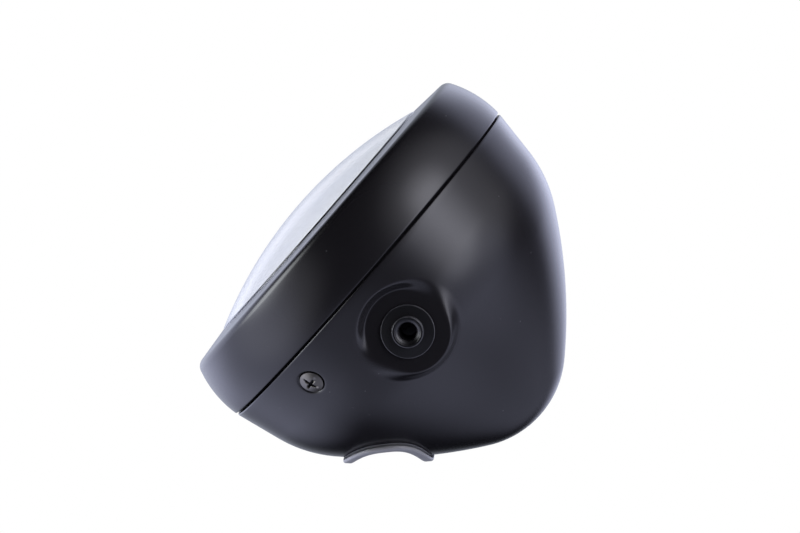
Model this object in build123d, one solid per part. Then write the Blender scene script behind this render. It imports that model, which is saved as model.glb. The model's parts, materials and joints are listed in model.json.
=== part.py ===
from build123d import *

import os
from math import asin, cos, radians, sin, sqrt, tan

# Round motorcycle headlight. Sizes in millimetres, angles in degrees.
# Frame: the lens faces -Y, +Z is up, +X is the lamp's left side. The origin lies on the optical axis,
# midway between the two side bushes. Sections are drawn as (radius, station along Y).

# The standard light unit, and what the lamp is built round it
lens_flange_r = 73.0
rim_band = 17.0
rim_cover = 7.5
pad_inset = 7.5
bush_behind_seam = 28.4
seam_gap = 1.2

# Bezel, the pressed rim
bezel_side_arc = 50.0
bezel_crown_ahead = 4.6
bezel_wall = 1.2
bezel_face_slope = 5.3
bezel_corner_r = 5.0
lip_ahead = 29.3
lip_return = 2.8
lip_round = 0.8
sheet_edge_round = 0.4

# Shell, the pressed bowl: taper, shoulder arc, flank arc and round tail
shell_wall = 1.2
shell_taper = 10.2
shell_taper_length = 21.35
shoulder_r = 59.3
shoulder_end = 36.0
flank_r = 232.5
flank_end = 53.3
mouth_round = 0.7
lip_length = 7.0
lip_clearance = 0.3

# Round pads pressed into the shell's sides
pad_r = 18.9
pad_draft = 22.0
pad_depth = 25.0

# Rim screws in dimples, at four and eight o'clock
screw_behind_seam = 12.8
screw_below = 30.6
screw_r = 2.5
screw_head_r = 5.1
screw_head_edge = 0.7
screw_head_rise = 1.4
screw_length = 15.0
screw_hole_clearance = 0.3
dimple_r = 6.05
dimple_land = 0.6
cross_length = 5.2
cross_width = 1.2
cross_depth = 1.6
cross_turn = 6.0

# Wiring opening at the rear bottom, with a rubber edge trim
opening_behind_seam = 65.2
opening_tilt = 50.0
opening_length = 88.0
opening_width = 35.0
trim_cover = 3.4
trim_lip = 1.5
trim_nose = 1.6

# Lens and its seal
lens_dome_r = 193.0
lens_edge_ahead = 0.14
lens_wall = 3.0
lens_flange_wall = 3.0
lens_clearance = 0.4
lens_edge_round = 1.0
seal_wall = 1.4
seal_clearance = 0.3

# Reflector: a paraboloid with a bulb seat and a collar for the pilot bulb
reflector_focus = 22.0
reflector_flange = 12.0
reflector_wall = 1.0
seat_hole_r = 19.1
seat_flange_r = 24.0
light_centre = 28.0
pilot_offset = 40.0
pilot_r = 7.5
pilot_collar_wall = 1.0
pilot_collar_length = 12.9

# Retaining ring with weld studs, washers and nuts
ring_margin = 8.0
ring_grip = 6.5
ring_wall = 1.5
stud_offset = 3.5
stud_count = 4
stud_r = 2.0
stud_foot_r = 3.0
stud_foot_wall = 0.8
stud_end = 2.0
stud_clearance = 0.2
small_washer_r = 4.5
small_washer_wall = 0.8
small_nut_flats = 7.0
small_nut_height = 3.2

# Folded strips: two rim brackets and one top hook, riveted to the retaining ring
strip_wall = 1.5
strip_bend_r = 1.8
strip_inset = 3.5
bracket_width = 17.0
bracket_land_ahead = 9.0
bracket_land_behind = 8.0
weld_nut_size = 9.0
weld_nut_height = 4.0
hook_width = 14.0
hook_clearance = 2.0
hook_gap = 0.4
rivet_inset = 7.5
rivet_spread = 9.0
rivet_r = 1.5
rivet_head_r = 2.9
rivet_head_rise = 1.1
rivet_clearance = 0.05

# Side bushes: flange and collar outside, threaded spigot with washer and nut inside
bush_thread_r = 3.4
bush_flange_r = 11.35
bush_flange_wall = 1.2
bush_collar_r = 6.6
bush_collar_rise = 2.2
bush_chamfer = 0.3
bush_sink_r = 5.6
bush_spigot_r = 7.0
bush_spigot_length = 13.0
bush_clearance = 0.1
big_washer_r = 12.0
big_washer_wall = 1.5
big_nut_flats = 19.0
big_nut_height = 6.0
nut_clearance = 0.05

# Twin-filament bulb with a three-blade base
bulb_flange_r = 21.5
bulb_flange_wall = 1.2
bulb_glass_r = 8.5
bulb_glass_wall = 1.2
bulb_reach = 50.0
bulb_pinch = 18.0
bulb_neck_r = 10.5
bulb_neck_length = 14.0
bulb_neck_clearance = 0.05
bulb_can_r = 11.0
bulb_can_length = 9.0
insulator_r = 10.2
insulator_length = 5.0
blade_width = 7.8
blade_wall = 0.8
blade_length = 9.0
blade_spread = 7.5
filament_r = 0.9
filament_length = 5.0
filament_gap = 6.0
post_r = 0.5
post_spread = 2.6
shield_r = 4.2
shield_wall = 0.5
shield_length = 8.0

# Bulb clip and dust boot
clip_wire_r = 0.8
clip_half_width = 12.6
clip_top = 16.0
clip_bottom = 18.0
clip_bend_r = 5.0
clip_gap = 0.02
boot_wall = 2.0
boot_clearance = 0.1
boot_grip = 3.0
boot_barrel = 5.5
boot_cone_length = 8.0
boot_neck_length = 5.0

# Pilot bulb and its holder
holder_clearance = 0.1
holder_depth = 10.0
holder_flange_r = 10.0
holder_flange_wall = 2.5
holder_tail_r = 6.5
holder_tail_length = 9.0
pilot_bulb_r = 5.0
pilot_bulb_length = 13.0

# Stations and radii that several pieces share
bezel_r = lens_flange_r + rim_band
lens_opening_r = lens_flange_r - rim_cover
reflector_mouth_r = lens_flange_r - reflector_flange
ring_outer_r = lens_flange_r + ring_margin
ring_inner_r = lens_flange_r - ring_grip
stud_circle_r = lens_flange_r + stud_offset
strip_foot_r = ring_inner_r + strip_inset
rivet_circle_r = strip_foot_r + rivet_inset
pad_x = bezel_r - pad_inset
seam_y = -bush_behind_seam
rim_rear_y = seam_y - seam_gap / 2
mouth_y = seam_y + seam_gap / 2
lip_y = seam_y - lip_ahead
face_slope = radians(bezel_face_slope)
side_centre = (bezel_r - bezel_side_arc, seam_y - bezel_crown_ahead)


def bezel_side_radius(y, inset=0.0):
    """Radius of the rim's bulged side at a station, inset from its outer face."""
    return side_centre[0] + sqrt((bezel_side_arc - inset) ** 2 - (y - side_centre[1]) ** 2)


def bezel_face_y(r, inset=0.0):
    """Station of the rim's front face at a radius, inset from its outer face."""
    return lip_y + (r - lens_opening_r) * tan(face_slope) + inset / cos(face_slope)


lens_edge_r = lens_opening_r - lens_clearance
flange_front_y = bezel_face_y(lens_flange_r, bezel_wall) + seal_wall
flange_rear_y = flange_front_y + lens_flange_wall
ring_front_y = flange_rear_y + reflector_wall
ring_rear_y = ring_front_y + ring_wall
lip_r = bezel_side_radius(rim_rear_y, bezel_wall) - lip_clearance
lip_inner_r = lip_r - shell_wall
lip_front_y = mouth_y - lip_length

bowl_vertex_y = flange_rear_y + reflector_mouth_r**2 / (4 * reflector_focus)
seat_y = bowl_vertex_y - reflector_focus + light_centre
pilot_rear_y = bowl_vertex_y - pilot_offset**2 / (4 * reflector_focus) + pilot_collar_length
bulb_rear_y = seat_y + bulb_flange_wall
can_rear_y = bulb_rear_y + bulb_can_length
insulator_rear_y = can_rear_y + insulator_length

# The shell's tangent arcs: each centre follows from the end of the curve before it
taper = radians(shell_taper)
shoulder_lean = radians(shoulder_end)
flank_lean = radians(flank_end)
seam_r = bezel_side_radius(seam_y)


def on_arc(centre, radius, lean):
    """Point of an arc where the outward normal leans back from radial by an angle."""
    return (centre[0] + radius * cos(lean), centre[1] + radius * sin(lean))


shoulder_start = (seam_r - shell_taper_length * tan(taper), seam_y + shell_taper_length)
shoulder_centre = on_arc(shoulder_start, -shoulder_r, taper)
flank_start = on_arc(shoulder_centre, shoulder_r, shoulder_lean)
flank_centre = on_arc(flank_start, -flank_r, shoulder_lean)
tail_start = on_arc(flank_centre, flank_r, flank_lean)
tail_r = tail_start[0] / cos(flank_lean)
tail_centre = on_arc(tail_start, -tail_r, flank_lean)


def shell_at(y):
    """Outer radius of the shell at a station, and how far its normal leans back there."""
    if y <= shoulder_start[1]:
        return seam_r - (y - seam_y) * tan(taper), taper
    centre, radius = tail_centre, tail_r
    if y <= tail_start[1]:
        centre, radius = flank_centre, flank_r
    if y <= flank_start[1]:
        centre, radius = shoulder_centre, shoulder_r
    lean = asin((y - centre[1]) / radius)
    return on_arc(centre, radius, lean)[0], lean


screw_y = seam_y + screw_behind_seam
screw_surface_r, screw_lean = shell_at(screw_y)
screw_hole_r = screw_r + screw_hole_clearance
dimple_depth = dimple_r - screw_hole_r + dimple_land
screw_clocks = (-screw_below, 180 + screw_below)
strip_clocks = (*screw_clocks, 90.0)


def meridian(clock):
    """Plane through the optical axis: local x is radial, local y runs along the axis."""
    a = radians(clock)
    return Plane(origin=(0, 0, 0), x_dir=(cos(a), 0, sin(a)), z_dir=(-sin(a), 0, cos(a)))


def screw_frame(clock):
    """Frame on the shell's face at a rim screw: local z points straight out of the sheet."""
    plane = meridian(clock)
    origin = plane.from_local_coords((screw_surface_r, screw_y, 0))
    out = plane.x_dir * cos(screw_lean) + plane.y_dir * sin(screw_lean)
    back = plane.y_dir * cos(screw_lean) - plane.x_dir * sin(screw_lean)
    return Plane(origin=origin, x_dir=back, z_dir=out)


def pad_frame(side):
    """Frame on a side pad's face: local z points away from the lamp."""
    return Plane(origin=(side * pad_x, 0, 0), x_dir=(0, 1, 0), z_dir=(side, 0, 0))


def spun(section):
    """Revolve a section about the optical axis."""
    return revolve(meridian(90) * section, Axis.Y)


def polygon(*points):
    """Flat face with straight edges."""
    return make_face(Polyline(*points, close=True))


def block(r0, r1, y0, y1):
    """Rectangle of a section between two radii and two stations."""
    return polygon((r0, y0), (r1, y0), (r1, y1), (r0, y1))


def rod(radius, z0, z1):
    """Cylinder about local z between two heights."""
    return Pos(0, 0, z0) * Cylinder(radius, z1 - z0, align=(Align.CENTER, Align.CENTER, Align.MIN))


def taper_rod(r0, r1, z0, z1):
    """Cone frustum about local z between two heights."""
    return Pos(0, 0, z0) * Cone(r0, r1, z1 - z0, align=(Align.CENTER, Align.CENTER, Align.MIN))


def along_axis(x, z):
    """Frame at a place beside the optical axis: local z runs back along the axis."""
    return Plane(origin=(x, 0, z), x_dir=(1, 0, 0), z_dir=(0, 1, 0))


def at_clock(radius, clock, sideways=0.0):
    """Frame along the axis at a radius and clock angle, moved sideways round the ring."""
    place = meridian(clock).from_local_coords((radius, 0, sideways))
    return along_axis(place.X, place.Z)


def group(shapes):
    """Several like solids kept as one piece of the list."""
    return Compound([shape.solid() for shape in shapes])


def shell_region(inset, front_y):
    """Half section of the pressed bowl, inset from its outer face, closed at a front station."""
    front_r = shell_at(front_y)[0] - inset / cos(taper)
    first = on_arc(shoulder_centre, shoulder_r - inset, taper)
    second = on_arc(shoulder_centre, shoulder_r - inset, shoulder_lean)
    third = on_arc(flank_centre, flank_r - inset, flank_lean)
    tip = (0, tail_centre[1] + tail_r - inset)
    shoulder_mid = on_arc(shoulder_centre, shoulder_r - inset, (taper + shoulder_lean) / 2)
    flank_mid = on_arc(flank_centre, flank_r - inset, (shoulder_lean + flank_lean) / 2)
    tail_mid = on_arc(tail_centre, tail_r - inset, (flank_lean + radians(90)) / 2)
    edges = [
        Line((0, front_y), (front_r, front_y)),
        Line((front_r, front_y), first),
        ThreePointArc(first, shoulder_mid, second),
        ThreePointArc(second, flank_mid, third),
        ThreePointArc(third, tail_mid, tip),
        Line(tip, (0, front_y)),
    ]
    return make_face(edges)


def pressed_form(inset, front_y):
    """Bowl with its side pads as one filled form, inset from the outer face."""
    form = spun(shell_region(inset, front_y))
    draft = tan(radians(pad_draft))
    step = inset * (1 / cos(radians(pad_draft)) - draft)
    for side in (1, -1):
        frame = pad_frame(side)
        sunk = taper_rod(pad_r + step, pad_r + step + pad_inset * draft, -inset, pad_inset - inset)
        raised = taper_rod(pad_r - step + pad_depth * draft, pad_r - step, -inset - pad_depth, -inset)
        form = form - frame * sunk + frame * raised
    return form


def opening_prism(margin):
    """Oval prism through the wiring opening, its outline set out by a margin."""
    surface_r = shell_at(seam_y + opening_behind_seam)[0]
    tilt = radians(opening_tilt)
    frame = Plane(
        origin=(0, seam_y + opening_behind_seam, -surface_r),
        x_dir=(1, 0, 0),
        z_dir=(0, cos(tilt), -sin(tilt)),
    )
    outline = frame * SlotOverall(opening_length + 2 * margin, opening_width + 2 * margin)
    return extrude(outline, amount=opening_width, both=True)


def make_shell():
    outer = pressed_form(0, mouth_y)
    outer = fillet(outer.edges().group_by(Axis.Y)[0], mouth_round)
    outer += spun(block(0, lip_r, lip_front_y, mouth_y + shell_wall))
    inner = pressed_form(shell_wall, mouth_y + shell_wall)
    inner += spun(block(0, lip_inner_r, lip_front_y, mouth_y + shell_wall))
    shell = outer - inner
    boss_slope = dimple_r + shell_wall * sqrt(2)
    for clock in screw_clocks:
        frame = screw_frame(clock)
        boss_top = -shell_wall / 2
        shell += frame * taper_rod(boss_slope - dimple_depth, boss_slope + boss_top, -dimple_depth, boss_top)
        sink_floor = screw_hole_r - dimple_r
        shell -= frame * taper_rod(screw_hole_r, dimple_r + shell_wall, sink_floor, shell_wall)
        shell -= frame * rod(screw_hole_r, -2 * dimple_depth, 0)
    for side in (1, -1):
        shell -= pad_frame(side) * rod(bush_spigot_r + bush_clearance, -2 * shell_wall, shell_wall)
    return shell - opening_prism(0)


def make_wire_trim():
    wall_front_y = mouth_y + shell_wall
    band = opening_prism(trim_cover) - opening_prism(-trim_nose)
    outside = spun(shell_region(-trim_lip, wall_front_y))
    inside = spun(shell_region(shell_wall + trim_lip, wall_front_y))
    sheet = spun(shell_region(0, wall_front_y)) - spun(shell_region(shell_wall, wall_front_y))
    return (band & outside) - inside - (sheet - opening_prism(0))


def bezel_region(inset):
    """Half section of the filled rim, inset from its outer face."""
    far_r = bezel_r + bezel_wall
    front = (0, bezel_face_y(0, inset))
    corner = (far_r, bezel_face_y(far_r, inset))
    flat = polygon(front, corner, (far_r, rim_rear_y), (0, rim_rear_y))
    region = flat & Pos(*side_centre) * Circle(bezel_side_arc - inset)
    outermost = region.vertices().filter_by(lambda v: v.X > lens_opening_r).sort_by(Axis.Y)[0]
    return fillet(outermost, bezel_corner_r - inset)


def make_bezel():
    section = bezel_region(0) - bezel_region(bezel_wall)
    section -= block(0, lens_opening_r, lip_y - lip_ahead, rim_rear_y)
    section += block(lens_opening_r, lens_opening_r + bezel_wall, lip_y + bezel_wall / 2, lip_y + lip_return)
    lip_edge = section.vertices().filter_by(lambda v: v.X < lens_opening_r + bezel_wall / 2)
    section = fillet(lip_edge.sort_by(Axis.Y)[0], lip_round)
    section = fillet(section.vertices().group_by(Axis.Y)[-1], sheet_edge_round)
    return spun(section)


def make_lens():
    dome_centre_y = lip_y - lens_edge_ahead + sqrt(lens_dome_r**2 - lens_edge_r**2)

    def dome_y(r, inset):
        return dome_centre_y - sqrt((lens_dome_r - inset) ** 2 - r**2)

    inner_r = lens_edge_r - lens_wall
    apex = (0, dome_y(0, 0))
    edge = (lens_edge_r, dome_y(lens_edge_r, 0))
    inner_edge = (inner_r, dome_y(inner_r, lens_wall))
    inner_apex = (0, dome_y(0, lens_wall))
    edges = [
        ThreePointArc(apex, (lens_edge_r / 2, dome_y(lens_edge_r / 2, 0)), edge),
        Polyline(
            edge,
            (lens_edge_r, flange_front_y),
            (lens_flange_r, flange_front_y),
            (lens_flange_r, flange_rear_y),
            (inner_r, flange_rear_y),
            inner_edge,
        ),
        ThreePointArc(inner_edge, (inner_r / 2, dome_y(inner_r / 2, lens_wall)), inner_apex),
        Line(inner_apex, apex),
    ]
    section = make_face(edges)
    front_edge = section.vertices().filter_by(lambda v: v.X > inner_r + lens_wall / 2).sort_by(Axis.Y)[0]
    return spun(fillet(front_edge, lens_edge_round))


def make_lens_seal():
    inner_r = lens_opening_r + bezel_wall + seal_clearance
    return spun(
        polygon(
            (inner_r, bezel_face_y(inner_r, bezel_wall)),
            (lens_flange_r, bezel_face_y(lens_flange_r, bezel_wall)),
            (lens_flange_r, flange_front_y),
            (inner_r, flange_front_y),
        )
    )


def bowl_curve(r0, r1, shift):
    """Parabola of the bowl between two radii, moved back along the axis."""

    def bowl_y(product):
        return bowl_vertex_y + shift - product / (4 * reflector_focus)

    return Bezier((r0, bowl_y(r0 * r0)), ((r0 + r1) / 2, bowl_y(r0 * r1)), (r1, bowl_y(r1 * r1)))


def make_reflector():
    front = bowl_curve(seat_hole_r, reflector_mouth_r, 0)
    back = bowl_curve(seat_hole_r, reflector_mouth_r, reflector_wall)
    bowl = make_face([front, Line(front @ 1, back @ 1), back, Line(back @ 0, front @ 0)])
    section = bowl + block(reflector_mouth_r, lens_flange_r, flange_rear_y, ring_front_y)
    section += block(seat_hole_r, seat_hole_r + reflector_wall, (front @ 0).Y, seat_y)
    section += block(seat_hole_r, seat_flange_r, seat_y - reflector_wall, seat_y)
    vertex = (0, bowl_vertex_y)
    hollow = bowl_curve(0, reflector_mouth_r, 0)
    filling = spun(make_face([hollow, Line(hollow @ 1, (0, flange_rear_y)), Line((0, flange_rear_y), vertex)]))
    frame = along_axis(0, -pilot_offset)
    collar = frame * rod(pilot_r + pilot_collar_wall, flange_rear_y, pilot_rear_y) - filling
    return spun(section) + collar - frame * rod(pilot_r, flange_rear_y, pilot_rear_y)


def stud_frames():
    """Frames of the weld studs, spaced evenly and clear of the brackets and the hook."""
    pitch = 360 / stud_count
    return [at_clock(stud_circle_r, pitch * (i + 0.5)) for i in range(stud_count)]


def rivet_frames(clock):
    """Frames of the two rivets in the foot of a strip."""
    return [at_clock(rivet_circle_r, clock, side * rivet_spread / 2) for side in (1, -1)]


def make_retaining_ring():
    ring = spun(block(ring_inner_r, ring_outer_r, ring_front_y, ring_rear_y))
    for frame in stud_frames():
        ring -= frame * rod(stud_r + stud_clearance, ring_front_y, ring_rear_y)
    for clock in strip_clocks:
        for frame in rivet_frames(clock):
            ring -= frame * rod(rivet_r + rivet_clearance, ring_front_y, ring_rear_y)
    return ring


def make_retaining_studs():
    foot_y = bezel_face_y(stud_circle_r + stud_foot_r, bezel_wall)
    end_y = ring_rear_y + small_washer_wall + small_nut_height + stud_end
    stud = rod(stud_foot_r, foot_y, foot_y + stud_foot_wall) + rod(stud_r, foot_y, end_y)
    return group([frame * stud for frame in stud_frames()])


def make_retaining_washers():
    rear_y = ring_rear_y + small_washer_wall
    washer = rod(small_washer_r, ring_rear_y, rear_y) - rod(stud_r + stud_clearance, ring_rear_y, rear_y)
    return group([frame * washer for frame in stud_frames()])


def hex_nut(flats, bore_r, z0, height):
    """Plain hexagon nut about local z, standing on a height."""
    outline = RegularPolygon(flats / 2, 6, major_radius=False)
    body = extrude(Pos(0, 0, z0) * outline, amount=height)
    return body - rod(bore_r, z0, z0 + height)


def make_retaining_nuts():
    nut = hex_nut(small_nut_flats, stud_r + nut_clearance, ring_rear_y + small_washer_wall, small_nut_height)
    return group([frame * nut for frame in stud_frames()])


def folded_strip(clock, points, width):
    """Strip of sheet folded along a line, with rivet holes in its foot on the retaining ring."""
    line = FilletPolyline(*points, radius=strip_bend_r)
    section = make_face(offset(line, amount=strip_wall, side=Side.LEFT))
    strip = extrude(meridian(clock) * section, amount=width / 2, both=True)
    for frame in rivet_frames(clock):
        strip -= frame * rod(rivet_r + rivet_clearance, ring_rear_y, ring_rear_y + strip_wall)
    return strip


def make_rim_bracket(clock):
    land = on_arc((screw_surface_r, screw_y), -dimple_depth, screw_lean)
    bend = (land[0] + bracket_land_ahead * sin(screw_lean), land[1] - bracket_land_ahead * cos(screw_lean))
    tip = (land[0] - bracket_land_behind * sin(screw_lean), land[1] + bracket_land_behind * cos(screw_lean))
    line = [(strip_foot_r, ring_rear_y), (bend[0], ring_rear_y), bend, tip]
    hole = rod(screw_hole_r, -dimple_depth - 2 * strip_wall, -dimple_depth + strip_wall)
    return folded_strip(clock, line, bracket_width) - screw_frame(clock) * hole


def make_top_hook():
    hook_y = mouth_y + shell_wall + hook_gap
    leg_r = lip_inner_r - hook_clearance
    reach_r = shell_at(hook_y + strip_wall)[0] - shell_wall / cos(taper) - hook_gap
    tip_r = sqrt(reach_r**2 - (hook_width / 2) ** 2)
    line = [(strip_foot_r, ring_rear_y), (leg_r, ring_rear_y), (leg_r, hook_y), (tip_r, hook_y)]
    return folded_strip(90, line, hook_width)


def make_bracket_rivets():
    rear_y = ring_rear_y + strip_wall
    rivet = rod(rivet_r, ring_front_y, rear_y)
    rivet += rod(rivet_head_r, ring_front_y - rivet_head_rise, ring_front_y)
    rivet += rod(rivet_head_r, rear_y, rear_y + rivet_head_rise)
    return group([frame * rivet for clock in strip_clocks for frame in rivet_frames(clock)])


def make_rim_screws():
    seat_z = screw_head_r - dimple_r
    neck_z = seat_z - (screw_head_r - screw_r)
    dome_r = (screw_head_r**2 + screw_head_rise**2) / (2 * screw_head_rise)
    crown_z = seat_z + screw_head_edge + screw_head_rise
    crown = rod(screw_head_r, seat_z, crown_z) & Pos(0, 0, crown_z - dome_r) * Sphere(dome_r)
    screw = crown + taper_rod(screw_r, screw_head_r, neck_z, seat_z) + rod(screw_r, crown_z - screw_length, neck_z)
    bar = Pos(0, 0, crown_z) * Box(cross_length, cross_width, 2 * cross_depth)
    screw -= Rot(0, 0, cross_turn) * (bar + Rot(0, 0, 90) * bar)
    return group([screw_frame(clock) * screw for clock in screw_clocks])


def make_rim_screw_nuts():
    top_z = -dimple_depth - strip_wall
    middle_z = top_z - weld_nut_height / 2
    nut = Pos(0, 0, middle_z) * Box(weld_nut_size, weld_nut_size, weld_nut_height)
    nut -= rod(screw_r + nut_clearance, top_z - weld_nut_height, top_z)
    return group([screw_frame(clock) * nut for clock in screw_clocks])


def make_side_bush(side):
    top = bush_flange_wall + bush_collar_rise
    section = polygon(
        (0, -bush_spigot_length),
        (bush_spigot_r, -bush_spigot_length),
        (bush_spigot_r, 0),
        (bush_flange_r, 0),
        (bush_flange_r, bush_flange_wall),
        (bush_collar_r, bush_flange_wall),
        (bush_collar_r, top - bush_chamfer),
        (bush_collar_r - bush_chamfer, top),
        (bush_sink_r, top),
        (bush_thread_r, top - (bush_sink_r - bush_thread_r)),
        (0, top - (bush_sink_r - bush_thread_r)),
    )
    bush = revolve(Plane.XZ * section, Axis.Z) - rod(bush_thread_r, -bush_spigot_length, top)
    return pad_frame(side) * bush


def make_bush_washers():
    face_z = -shell_wall - big_washer_wall
    washer = rod(big_washer_r, face_z, -shell_wall) - rod(bush_spigot_r + bush_clearance, face_z, -shell_wall)
    return group([pad_frame(side) * washer for side in (1, -1)])


def make_bush_nuts():
    floor_z = -shell_wall - big_washer_wall - big_nut_height
    nut = hex_nut(big_nut_flats, bush_spigot_r + nut_clearance, floor_z, big_nut_height)
    return group([pad_frame(side) * nut for side in (1, -1)])


def make_bulb_collar():
    neck_inner_r = bulb_glass_r + bulb_neck_clearance
    section = block(neck_inner_r, bulb_neck_r, seat_y - bulb_neck_length, bulb_rear_y)
    section += block(neck_inner_r, bulb_flange_r, seat_y, bulb_rear_y)
    section += block(0, bulb_can_r, bulb_rear_y, can_rear_y)
    return spun(section)


def make_bulb_glass():
    tip_y = seat_y - bulb_reach
    inner_r = bulb_glass_r - bulb_glass_wall
    dome_y = tip_y + bulb_glass_r
    outer = block(0, bulb_glass_r, dome_y, bulb_rear_y) + Pos(0, dome_y) * Circle(bulb_glass_r)
    inner = block(0, inner_r, dome_y, bulb_rear_y - bulb_pinch) + Pos(0, dome_y) * Circle(inner_r)
    half = block(0, bulb_can_r, tip_y, bulb_rear_y)
    return spun((outer - inner) & half)


def make_bulb_filaments():
    floor_y = bulb_rear_y - bulb_pinch
    centre_y = seat_y - light_centre
    ends = (centre_y + filament_length / 2, centre_y - filament_gap - filament_length / 2)
    coils = []
    for rear_y, side in zip(ends, (1, -1)):
        front_y = rear_y - filament_length
        coil = along_axis(0, 0) * rod(filament_r, front_y, rear_y)
        post = along_axis(0, side * post_spread) * rod(post_r, front_y, floor_y)
        arm_height = post_spread - filament_r + post_r
        arm = Box(2 * post_r, 2 * post_r, arm_height)
        reach = side * (filament_r + post_r + post_spread) / 2
        arm_y = front_y + post_r
        coils.append(coil + post + Pos(0, arm_y, reach - side * post_r / 2) * arm)
    return group(coils)


def make_bulb_shield():
    centre_y = seat_y - light_centre - filament_gap
    rear_y = centre_y + shield_length / 2 - filament_length / 2
    cup = rod(shield_r, rear_y - shield_length, rear_y) - rod(shield_r - shield_wall, rear_y - shield_length, rear_y)
    lower = Pos(0, -shield_r / 2, rear_y - shield_length / 2) * Box(2 * shield_r, shield_r, shield_length)
    post = Pos(0, -shield_r + shield_wall / 2, 0) * rod(shield_wall / 2, rear_y - shield_wall, bulb_rear_y - bulb_pinch)
    flip = Plane(origin=(0, 0, 0), x_dir=(-1, 0, 0), z_dir=(0, 1, 0))
    return flip * ((cup & lower) + post)


def make_bulb_insulator():
    return along_axis(0, 0) * rod(insulator_r, can_rear_y, insulator_rear_y)


def make_bulb_terminals():
    middle_y = insulator_rear_y + blade_length / 2
    upright = Box(blade_wall, blade_length, blade_width)
    level = Box(blade_width, blade_length, blade_wall)
    places = [Pos(blade_spread, middle_y, 0), Pos(-blade_spread, middle_y, 0)]
    return group([place * upright for place in places] + [Pos(0, middle_y, blade_spread) * level])


def make_bulb_clip():
    wire_y = bulb_rear_y + clip_wire_r + clip_gap
    corners = [
        (-clip_half_width, wire_y, -clip_bottom),
        (-clip_half_width, wire_y, clip_top),
        (clip_half_width, wire_y, clip_top),
        (clip_half_width, wire_y, -clip_bottom),
    ]
    path = FilletPolyline(*corners, radius=clip_bend_r)
    start = Plane(origin=path @ 0, z_dir=path % 0)
    return sweep(start * Circle(clip_wire_r), path=path)


def make_bulb_boot():
    barrel_r = seat_flange_r + boot_clearance
    neck_r = insulator_r + boot_clearance
    front_y = seat_y - boot_grip
    barrel_y = seat_y + boot_barrel
    cone_y = barrel_y + boot_cone_length
    rear_y = cone_y + boot_neck_length
    return spun(
        polygon(
            (barrel_r, front_y),
            (barrel_r + boot_wall, front_y),
            (barrel_r + boot_wall, barrel_y),
            (neck_r + boot_wall, cone_y),
            (neck_r + boot_wall, rear_y),
            (neck_r, rear_y),
            (neck_r, cone_y - boot_wall),
            (barrel_r, barrel_y - boot_wall),
        )
    )


def make_pilot_holder():
    plug = rod(pilot_r - holder_clearance, pilot_rear_y - holder_depth, pilot_rear_y)
    flange = rod(holder_flange_r, pilot_rear_y, pilot_rear_y + holder_flange_wall)
    tail_y = pilot_rear_y + holder_flange_wall
    tail = rod(holder_tail_r, tail_y, tail_y + holder_tail_length)
    return along_axis(0, -pilot_offset) * (plug + flange + tail)


def make_pilot_bulb():
    rear_y = pilot_rear_y - holder_depth
    dome_y = rear_y - pilot_bulb_length + pilot_bulb_r
    bulb = rod(pilot_bulb_r, dome_y, rear_y) + Pos(0, 0, dome_y) * Sphere(pilot_bulb_r)
    return along_axis(0, -pilot_offset) * bulb


pieces = {
    "shell": make_shell(),
    "wire_trim": make_wire_trim(),
    "bezel": make_bezel(),
    "lens": make_lens(),
    "lens_seal": make_lens_seal(),
    "reflector": make_reflector(),
    "retaining_ring": make_retaining_ring(),
    "retaining_studs": make_retaining_studs(),
    "retaining_washers": make_retaining_washers(),
    "retaining_nuts": make_retaining_nuts(),
    "rim_bracket_left": make_rim_bracket(screw_clocks[0]),
    "rim_bracket_right": make_rim_bracket(screw_clocks[1]),
    "top_hook": make_top_hook(),
    "bracket_rivets": make_bracket_rivets(),
    "rim_screws": make_rim_screws(),
    "rim_screw_nuts": make_rim_screw_nuts(),
    "side_bush_left": make_side_bush(1),
    "side_bush_right": make_side_bush(-1),
    "bush_washers": make_bush_washers(),
    "bush_nuts": make_bush_nuts(),
    "bulb_collar": make_bulb_collar(),
    "bulb_glass": make_bulb_glass(),
    "bulb_filaments": make_bulb_filaments(),
    "bulb_shield": make_bulb_shield(),
    "bulb_insulator": make_bulb_insulator(),
    "bulb_terminals": make_bulb_terminals(),
    "bulb_clip": make_bulb_clip(),
    "bulb_boot": make_bulb_boot(),
    "pilot_holder": make_pilot_holder(),
    "pilot_bulb": make_pilot_bulb(),
}

os.makedirs("parts", exist_ok=True)
for name, piece in pieces.items():
    export_step(piece, f"parts/{name}.step")
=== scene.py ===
# %% [markdown]
# # A round motorcycle headlight
# The solids come packed from CAD and stay where they are. This lesson dresses them: it makes smooth
# meshes for what shows, gives every piece a finish, and sets up a plain white studio.

# %% Load the frame
import json
import math

import bmesh
import bpy
import numpy as np
from mathutils import Matrix, Vector
from mathutils.geometry import delaunay_2d_cdt


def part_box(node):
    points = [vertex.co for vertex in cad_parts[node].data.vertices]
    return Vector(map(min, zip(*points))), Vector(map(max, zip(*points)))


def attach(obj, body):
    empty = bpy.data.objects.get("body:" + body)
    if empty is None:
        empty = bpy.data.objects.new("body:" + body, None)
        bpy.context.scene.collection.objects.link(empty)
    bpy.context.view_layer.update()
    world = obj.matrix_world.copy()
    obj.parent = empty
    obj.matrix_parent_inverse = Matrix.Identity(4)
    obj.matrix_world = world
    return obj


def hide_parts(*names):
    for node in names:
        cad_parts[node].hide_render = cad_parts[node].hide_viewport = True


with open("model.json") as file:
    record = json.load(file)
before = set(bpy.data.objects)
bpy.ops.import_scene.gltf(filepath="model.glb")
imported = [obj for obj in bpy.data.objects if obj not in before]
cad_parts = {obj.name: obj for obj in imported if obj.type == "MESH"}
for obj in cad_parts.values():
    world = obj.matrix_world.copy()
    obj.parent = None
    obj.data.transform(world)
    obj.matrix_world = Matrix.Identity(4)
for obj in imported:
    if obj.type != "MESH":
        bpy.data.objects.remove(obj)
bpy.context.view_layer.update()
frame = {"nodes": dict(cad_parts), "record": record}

MM = 0.001
print("nodes in the frame:", len(frame["nodes"]))

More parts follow.
